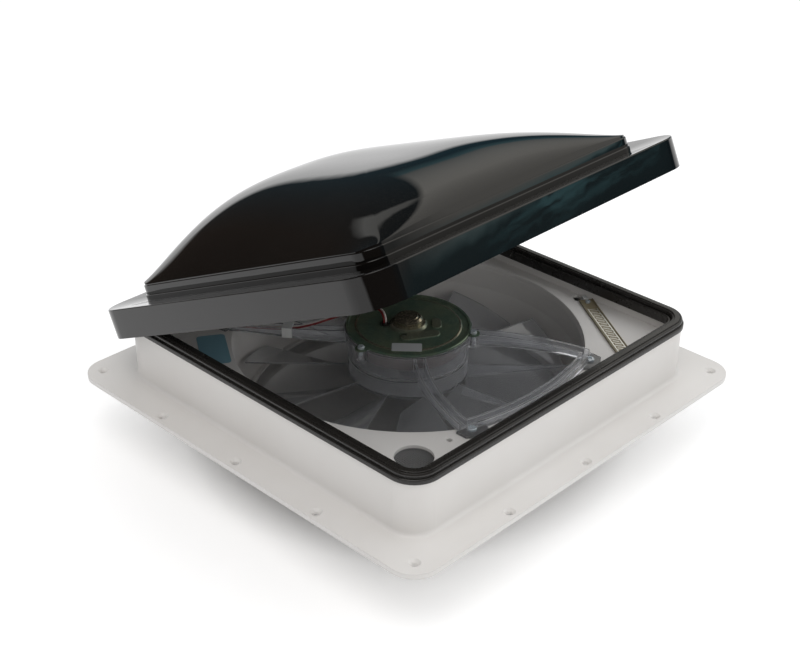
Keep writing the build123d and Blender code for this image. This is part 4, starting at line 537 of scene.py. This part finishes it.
def select_only(parts, select_mode, wanted):
    """In edit mode, selects the edges or faces of the active mesh that are wanted, and nothing else."""
    bpy.ops.mesh.select_all(action="DESELECT")
    bpy.ops.object.mode_set(mode="OBJECT")
    for part in getattr(bpy.context.object.data, parts):
        part.select = wanted(part)
    bpy.ops.object.mode_set(mode="EDIT")
    bpy.ops.mesh.select_mode(type=select_mode)


def edge_length(edge):
    start, end = [edge.id_data.vertices[n].co for n in edge.vertices]
    return (end - start).length


def finish_piece(name, slot, body, node):
    """Names the active piece, settles it at the origin, and says what it moves with and stands for."""
    piece = bpy.context.object
    piece.name = name
    piece.data.name = name
    bpy.ops.object.transform_apply(location=True, rotation=True, scale=True)
    piece.data.materials.clear()
    piece.data.materials.append(materials[slot])
    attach(piece, body)
    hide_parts(node)


def apply_modifier(kind, **settings):
    """Adds a modifier to the active piece and applies it."""
    piece = bpy.context.object
    modifier = piece.modifiers.new(kind.lower(), kind)
    for name, value in settings.items():
        setattr(modifier, name, value)
    bpy.ops.object.modifier_apply(modifier=modifier.name)


# Lid

def dome_height(x, y):
    """Height of the crown over the plinth's top."""
    half = lid_half_width - plinth_inset - plinth_step
    length = lid_half_length - plinth_inset - plinth_step
    across = min(abs(x) / half, 1.0)
    along = max(-1.0, min(1.0, (y - lid_middle_y) / length))
    arch = 1 - across ** dome_side_power
    ends = math.sqrt(max(0.0, 1 - abs(along) ** dome_end_power))
    return dome_rise * arch * ends * (1 + dome_back_lean * along)


def rounded_sheet(half_x, half_y, corner, y, z):
    """A flat face with rounded corners and evenly divided sides, left selected in edit mode."""
    bpy.ops.mesh.primitive_plane_add(size=2, location=(0, y, z))
    bpy.context.object.scale = (half_x, half_y, 1)
    bpy.ops.object.transform_apply(location=True, rotation=False, scale=True)
    bpy.ops.object.mode_set(mode="EDIT")
    bpy.ops.mesh.select_all(action="SELECT")
    bpy.ops.mesh.bevel(affect="VERTICES", offset=corner, offset_type="OFFSET", segments=corner_steps,
                       profile=0.5)
    select_only("edges", "EDGE", lambda edge: edge_length(edge) > corner)
    bpy.ops.mesh.subdivide(number_cuts=side_steps)
    bpy.ops.mesh.select_mode(type="FACE")
    bpy.ops.mesh.select_all(action="SELECT")


def step_up(rise):
    """Extrudes the selected face straight upwards."""
    bpy.ops.mesh.extrude_region_move(TRANSFORM_OT_translate={"value": (0, 0, rise)})


def ring(rise, inset):
    """One sloped ring: the selected face is drawn in and raised together."""
    bpy.ops.mesh.inset(thickness=inset, depth=0, use_even_offset=True)
    bpy.ops.transform.translate(value=(0, 0, rise))


def ring_between(rise, old, new, middle_y=lid_middle_y):
    """A ring from one rounded rectangle to another, each (half width, half length, corner radius)."""
    bpy.ops.mesh.inset(thickness=first_inset, depth=0, use_even_offset=True)
    bpy.ops.object.mode_set(mode="OBJECT")
    core_x, core_y = old[0] - old[2], old[1] - old[2]
    next_x, next_y = new[0] - new[2], new[1] - new[2]
    slack = 1.5 * first_inset
    for vertex in bpy.context.object.data.vertices:
        if not vertex.select:
            continue
        x, y = abs(vertex.co.x), abs(vertex.co.y - middle_y)
        if x > core_x + slack and y > core_y + slack:
            turn = math.atan2(y - core_y, x - core_x)
            x, y = next_x + new[2] * math.cos(turn), next_y + new[2] * math.sin(turn)
        elif x > core_x + slack:
            x, y = new[0], y * next_y / core_y
        else:
            x, y = x * next_x / core_x, new[1]
        vertex.co = (math.copysign(x, vertex.co.x), middle_y + math.copysign(y, vertex.co.y - middle_y),
                     vertex.co.z + rise)
    bpy.ops.object.mode_set(mode="EDIT")


def build_lid():
    """The lid's thin shell, ring by ring from the skirt up to the crown, then swung open."""
    deselect_all()
    rounded_sheet(lid_half_width - lid_edge / 2, lid_half_length - lid_edge / 2, lid_corner, lid_middle_y,
                  lid_bottom)
    step_up(lid_skirt_height - lid_edge)
    round_over(lid_edge)
    ring(0, lid_rim_width - lid_edge)
    rim = [lid_half_width - lid_rim_width, lid_half_length - lid_rim_width, lid_corner - lid_rim_width]
    foot = [lid_half_width - plinth_inset, lid_half_length - plinth_inset, plinth_corner]
    middle = [(a + b) / 2 for a, b in zip(rim, foot)]
    ring_between(-lid_gutter_depth / 2, rim, middle)
    ring_between(-lid_gutter_depth / 2, middle, foot)
    step_up(plinth_lower_height - lid_edge)
    round_over(lid_edge)
    step_up(plinth_upper_height - lid_edge)
    round_over(lid_edge)
    raise_dome()
    bpy.ops.mesh.select_all(action="SELECT")
    bpy.ops.mesh.normals_make_consistent(inside=False)
    remove_bottom()
    apply_modifier("SOLIDIFY", thickness=lid_wall, offset=-1.0, use_even_offset=False)
    cut_notches()
    bpy.ops.object.shade_smooth_by_angle(angle=smooth_angle)
    apply_modifier("WEIGHTED_NORMAL", keep_sharp=True, weight=100)
    swing_open()
    finish_piece("lid_shell", "lid_black", "lid", "lid_dome")


def round_over(radius):
    """A quarter-round edge made of rings."""
    for n in range(lid_edge_steps):
        a, b = math.pi / 2 * n / lid_edge_steps, math.pi / 2 * (n + 1) / lid_edge_steps
        ring(radius * (math.sin(b) - math.sin(a)), max(radius * (math.cos(a) - math.cos(b)), least_inset))


def raise_dome():
    """Scaled copies of the plinth's outline, each lifted to the crown's height."""
    before = 1.0
    for n in range(1, dome_rings + 1):
        share = math.cos(math.pi / 2 * n / (dome_rings + 1))
        step_up(first_lift)
        scale = share / before
        bpy.ops.transform.resize(value=(scale, scale, 1), center_override=(0, lid_middle_y, 0))
        before = share
    bpy.ops.mesh.poke()
    bpy.ops.object.mode_set(mode="OBJECT")
    top = lid_bottom + lid_skirt_height - lid_gutter_depth + plinth_lower_height + plinth_upper_height
    for vertex in bpy.context.object.data.vertices:
        if vertex.co.z > top + first_lift / 2:
            vertex.co.z = top + dome_height(vertex.co.x, vertex.co.y)
    bpy.ops.object.mode_set(mode="EDIT")


def remove_bottom():
    """The shell is open below."""
    select_only("polygons", "FACE",
                lambda face: len(face.vertices) > 4 and abs(face.center.z - lid_bottom) < near_enough)
    bpy.ops.mesh.delete(type="ONLY_FACE")
    bpy.ops.object.mode_set(mode="OBJECT")


def cut_notches():
    """Openings in the back skirt for the hinge."""
    lid = bpy.context.object
    for x in notch_places:
        deselect_all()
        back = (x, lid_half_length + lid_middle_y, notch_top - notch_height / 2)
        bpy.ops.mesh.primitive_cube_add(size=1, location=back)
        block = bpy.context.object
        block.scale = (2 * notch_half_width, notch_depth, notch_height)
        bpy.ops.object.transform_apply(location=True, rotation=False, scale=True)
        block.select_set(False)
        bpy.context.view_layer.objects.active = lid
        lid.select_set(True)
        apply_modifier("BOOLEAN", operation="DIFFERENCE", object=block, solver="EXACT")
        bpy.data.objects.remove(block)


def swing_open():
    """Turns the shut lid about its hinge, to where the solid stands at rest."""
    lid = bpy.context.object
    hinge = Vector((0, hinge_y, hinge_z))
    turn = Matrix.Translation(hinge) @ Matrix.Rotation(math.radians(-lid_open_angle), 4, "X")
    lid.matrix_world = turn @ Matrix.Translation(-hinge)


# Curb gasket

def gasket_section():
    """Half sizes and heights, from the outer foot over the bulb's ribs to the inner lip's foot."""
    points = [
        (gasket_band_half, 0.0), (gasket_band_half, gasket_band_height - gasket_band_round),
        (gasket_band_half - gasket_band_round / 3, gasket_band_height - gasket_band_round / 3),
        (gasket_band_half - gasket_band_round, gasket_band_height), (gasket_neck_half, gasket_band_height),
    ]
    for n in range(gasket_bulb_steps + 1):
        turn = math.pi * n / gasket_bulb_steps
        across, up = math.cos(turn), math.sin(turn)
        groove = gasket_rib_depth * max(0.0, math.cos(2 * gasket_ribs * turn)) ** gasket_rib_sharpness
        reach = gasket_bulb_reach - groove
        rise = gasket_bulb_rise - groove
        points.append((gasket_bulb_half + math.copysign(abs(across) ** gasket_bulb_square, across) * reach,
                       gasket_bulb_bottom + abs(up) ** gasket_bulb_square * rise))
    inner = gasket_lip_half - gasket_lip_width
    return points + [
        (gasket_bulb_half - gasket_bulb_reach, gasket_band_height), (gasket_lip_half, gasket_band_height),
        (gasket_lip_half, gasket_lip_top - gasket_lip_round),
        (gasket_lip_half - gasket_lip_round, gasket_lip_top),
        (inner + gasket_lip_round, gasket_lip_top), (inner, gasket_lip_top - gasket_lip_round),
        (inner, gasket_lip_bottom), (gasket_lip_half, gasket_lip_bottom), (gasket_lip_half, 0.0),
    ]


def build_gasket():
    """The gasket's section carried round the curb as rings, and closed where it began."""
    deselect_all()
    section = gasket_section()
    half, height = section[0]
    rounded_sheet(half, half, half - gasket_core, 0, gasket_base + height)
    for (old, low), (new, high) in zip(section, section[1:]):
        ring_between(high - low, (old, old, old - gasket_core), (new, new, new - gasket_core), middle_y=0)
    bpy.ops.mesh.delete(type="ONLY_FACE")
    bpy.ops.mesh.select_mode(type="EDGE")
    bpy.ops.mesh.select_non_manifold()
    bpy.ops.mesh.bridge_edge_loops()
    bpy.ops.mesh.select_all(action="SELECT")
    bpy.ops.mesh.normals_make_consistent(inside=False)
    bpy.ops.object.mode_set(mode="OBJECT")
    bpy.ops.object.shade_smooth_by_angle(angle=smooth_angle)
    finish_piece("gasket_ribbed", "black_rubber", "root", "curb_gasket")


# Woven screens

def cut_round(operation, radius, depth, centre):
    """Cuts the active piece with an upright cylinder."""
    piece = bpy.context.object
    deselect_all()
    bpy.ops.mesh.primitive_cylinder_add(vertices=circle_sides, radius=radius, depth=depth,
                                        location=centre)
    cutter = bpy.context.object
    cutter.select_set(False)
    bpy.context.view_layer.objects.active = piece
    piece.select_set(True)
    apply_modifier("BOOLEAN", operation=operation, object=cutter, solver="EXACT")
    bpy.data.objects.remove(cutter)


def wire_layer(centre, radius, pitch, wire, turned):
    """Parallel wires, one beside the other, cut to a disc."""
    deselect_all()
    count = int(radius / pitch)
    bpy.ops.mesh.primitive_cube_add(size=1, location=(-count * pitch, 0, 0))
    layer = bpy.context.object
    layer.scale = (wire, 2 * radius, wire)
    bpy.ops.object.transform_apply(location=True, rotation=False, scale=True)
    apply_modifier("ARRAY", count=2 * count + 1, use_relative_offset=False, use_constant_offset=True,
                   constant_offset_displace=(pitch, 0, 0))
    cut_round("INTERSECT", radius, 4 * wire, (0, 0, 0))
    layer.location = Vector(centre) + Vector((0, 0, wire / 4 if turned else -wire / 4))
    layer.rotation_euler = (0, 0, math.pi / 2 if turned else 0)
    bpy.ops.object.transform_apply(location=True, rotation=True, scale=True)
    return layer


def join_pieces(pieces):
    """All become part of the first."""
    deselect_all()
    for piece in pieces:
        piece.select_set(True)
    bpy.context.view_layer.objects.active = pieces[0]
    bpy.ops.object.join()


def build_insect_mesh():
    """Two crossed layers of wires over the throat."""
    low, high = [Vector(corner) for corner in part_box("insect_screen")]
    centre, radius = (low + high) / 2, (high.x - low.x) / 2
    join_pieces([wire_layer(centre, radius, mesh_pitch, mesh_wire, turned)
                 for turned in (False, True)])
    finish_piece("insect_mesh", "screen_mesh", "root", "insect_screen")


def build_vent_mesh():
    """The corner vent's fine mesh in its ring, under the deck."""
    low, high = [Vector(corner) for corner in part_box("corner_vent_screen")]
    centre = (low + high) / 2
    deselect_all()
    bpy.ops.mesh.primitive_cylinder_add(vertices=circle_sides, radius=(high.x - low.x) / 2,
                                        depth=high.z - low.z, location=centre)
    ring_piece = bpy.context.object
    cut_round("DIFFERENCE", vent_hole_radius, 2 * (high.z - low.z), centre)
    level = (centre.x, centre.y, low.z + vent_wire)
    layers = [wire_layer(level, vent_hole_radius + vent_wire, vent_pitch, vent_wire, turned)
              for turned in (False, True)]
    join_pieces([ring_piece] + layers)
    finish_piece("vent_mesh_disc", "vent_mesh", "root", "corner_vent_screen")


# Stage

def add_camera():
    """The photograph's camera."""
    azimuth, elevation, roll = [math.radians(a) for a in (camera_azimuth, camera_elevation, camera_roll)]
    back = Vector((math.sin(azimuth) * math.cos(elevation), -math.cos(azimuth) * math.cos(elevation),
                   math.sin(elevation)))
    level = Vector((math.cos(azimuth), math.sin(azimuth), 0))
    upright = back.cross(level)
    right = level * math.cos(roll) + upright * math.sin(roll)
    up = upright * math.cos(roll) - level * math.sin(roll)
    data = bpy.data.cameras.new("photo_camera")
    data.lens = camera_lens
    data.sensor_width = camera_sensor
    data.sensor_fit = "HORIZONTAL"
    data.clip_start, data.clip_end = camera_nearest, camera_farthest
    camera = bpy.data.objects.new("photo_camera", data)
    turn = Matrix((right, up, back)).transposed().to_4x4()
    camera.matrix_world = Matrix.Translation(camera_place) @ turn
    bpy.context.collection.objects.link(camera)
    bpy.context.scene.camera = camera


def add_lamp(name, place, size, power, colour, mirrored):
    """A softbox aimed at the object."""
    data = bpy.data.lights.new(name, "AREA")
    data.shape = "RECTANGLE"
    data.size, data.size_y = size
    data.energy = power
    data.color = colour
    lamp = bpy.data.objects.new(name, data)
    lamp.location = place
    lamp.rotation_euler = (Vector(lamp_aim) - Vector(place)).to_track_quat("-Z", "Y").to_euler()
    lamp.visible_glossy = mirrored
    bpy.context.collection.objects.link(lamp)


def between(tree, value, low, high, soft):
    """1 between low and high, with sides as soft as given, and 0 outside them."""
    rise = ramped(tree, value, low - soft, low + soft)
    return math_node(tree, "MULTIPLY", rise, ramped(tree, value, high + soft, high - soft))


def mirrored_room(tree, x, y, z):
    """Dim walls, a tall softbox and a low one to the right, cool glints under it, and a strip behind."""
    wall = mixed_colour(tree, ramped(tree, x, *wall_cools), rgb(0.055, 0.042, 0.034),
                        rgb(0.020, 0.055, 0.075))
    ahead = ramped(tree, y, *room_ahead)

    slant = math_node(tree, "ADD", x, math_node(tree, "MULTIPLY", z, 0.06))
    tall_box = math_node(tree, "MULTIPLY", between(tree, slant, *tall_box_side, 0.012),
                         ramped(tree, z, *tall_box_rise))
    front_box = math_node(tree, "MULTIPLY", ramped(tree, x, *front_box_side),
                          ramped(tree, z, *front_box_rise))
    front_box = math_node(tree, "MULTIPLY", front_box, ahead)
    softbox = math_node(tree, "ADD", tall_box, math_node(tree, "MULTIPLY", front_box, 0.8))
    pale = mixed_colour(tree, ramped(tree, z, *box_whitens), rgb(0.42, 0.80, 0.86),
                        rgb(1.05, 1.02, 0.95))

    flattened = add_node(tree, "CombineXYZ", X=x, Y=y, Z=math_node(tree, "MULTIPLY", z, 6.0))
    ripple = add_node(tree, "TexNoise", Vector=flattened.outputs["Vector"], Scale=22.0, Detail=5.0)
    glints = math_node(tree, "MULTIPLY", ramped(tree, ripple.outputs["Fac"], *glint_patches),
                       ramped(tree, x, *glint_side))
    glints = math_node(tree, "MULTIPLY", glints, ramped(tree, z, *glint_rise))
    glints = math_node(tree, "MULTIPLY", glints, ahead)
    wall = mixed_colour(tree, glints, wall, rgb(0.30, 0.72, 0.80))
    room = mixed_colour(tree, softbox, wall, pale)

    line = math_node(tree, "SUBTRACT", x, math_node(tree, "MULTIPLY", z, 0.75))
    strip = math_node(tree, "MULTIPLY", between(tree, line, *strip_side, 0.008),
                      between(tree, z, *strip_rise, 0.03))
    strip = math_node(tree, "MULTIPLY", strip, ramped(tree, y, *room_behind))
    room = mixed_colour(tree, strip, room, rgb(0.52, 0.52, 0.50))
    return mixed_colour(tree, ramped(tree, z, *ceiling_rise), room, rgb(0.9, 0.9, 0.9))


def add_world():
    """White behind the object and in what it mirrors low down; a soft sky; the studio mirrored higher up."""
    world = bpy.data.worlds.new("studio")
    bpy.context.scene.world = world
    world.use_nodes = True
    tree = world.node_tree
    path = tree.nodes.new("ShaderNodeLightPath").outputs
    seen = math_node(tree, "MAXIMUM", path["Is Camera Ray"], path["Is Transmission Ray"])
    direction = tree.nodes.new("ShaderNodeTexCoord").outputs["Generated"]
    split = add_node(tree, "SeparateXYZ", Vector=direction).outputs
    x, y, z = split["X"], split["Y"], split["Z"]
    sky = mixed_colour(tree, ramped(tree, z, *sky_rise), rgb(0.36, 0.355, 0.35), rgb(0.86, 0.86, 0.87))
    beside = math_node(tree, "MULTIPLY", ramped(tree, x, *sky_side), ramped(tree, z, *sky_side_rise))
    sky = mixed_colour(tree, beside, sky, rgb(1.25, 1.27, 1.29))
    room = mirrored_room(tree, x, y, z)
    light = mixed_colour(tree, path["Is Glossy Ray"], sky, room)
    low = math_node(tree, "MULTIPLY", path["Is Glossy Ray"], ramped(tree, z, *backdrop_edge))
    seen = math_node(tree, "MAXIMUM", seen, low)
    tree.links.new(mixed_colour(tree, seen, light, rgb(1, 1, 1)), tree.nodes["Background"].inputs["Color"])


def add_floor():
    """A pale floor that keeps the object's shadow, glows for seen rays with painted shade under the object,
    and fades into the white backdrop.
    """
    deselect_all()
    bpy.ops.mesh.primitive_plane_add(size=floor_size, location=(0, 0, floor_level))
    floor = bpy.context.object
    floor.name = "floor"
    material, tree, shader = new_material("floor_pale")
    skin = placed_group(tree, moulded_skin, Colour=rgb(0.92, 0.92, 0.92), Shade_Colour=rgb(0.90, 0.90, 0.90),
                        Grain=40.0, Roughness=0.85, Marks=0.05)
    path = tree.nodes.new("ShaderNodeLightPath").outputs
    place = tree.nodes.new("ShaderNodeTexCoord").outputs["Object"]
    reach = add_node(tree, "VectorMath", {"operation": "LENGTH"}, Vector=place).outputs["Value"]
    far = ramped(tree, reach, *floor_fade)
    seen = math_node(tree, "MAXIMUM", path["Is Camera Ray"], path["Is Transmission Ray"])
    seen = math_node(tree, "MAXIMUM", seen, path["Is Glossy Ray"])
    faded = mixed_colour(tree, math_node(tree, "MULTIPLY", seen, far), skin["Colour"], rgb(0, 0, 0))
    tree.links.new(faded, shader.inputs["Base Color"])
    tree.links.new(skin["Roughness"], shader.inputs["Roughness"])
    # Painted shade: the floor's glow is left out under the object, so the floor stays dark there.
    glow_and_painted_shade = mixed_colour(tree, ramped(tree, reach, *floor_painted_shade), rgb(0, 0, 0), rgb(0.25, 0.25, 0.25))
    glow = mixed_colour(tree, far, glow_and_painted_shade, rgb(1, 1, 1))
    tree.links.new(mixed_colour(tree, seen, rgb(0, 0, 0), glow), shader.inputs["Emission Color"])
    shader.inputs["Emission Strength"].default_value = 1.0
    floor.data.materials.append(material)


add_camera()
dress_frame()
build_lid()
build_gasket()
build_insect_mesh()
build_vent_mesh()
for lamp_name, lamp_values in softboxes.items():
    add_lamp(lamp_name, *lamp_values)
add_world()
add_floor()

bpy.context.scene.view_settings.view_transform = "Standard"
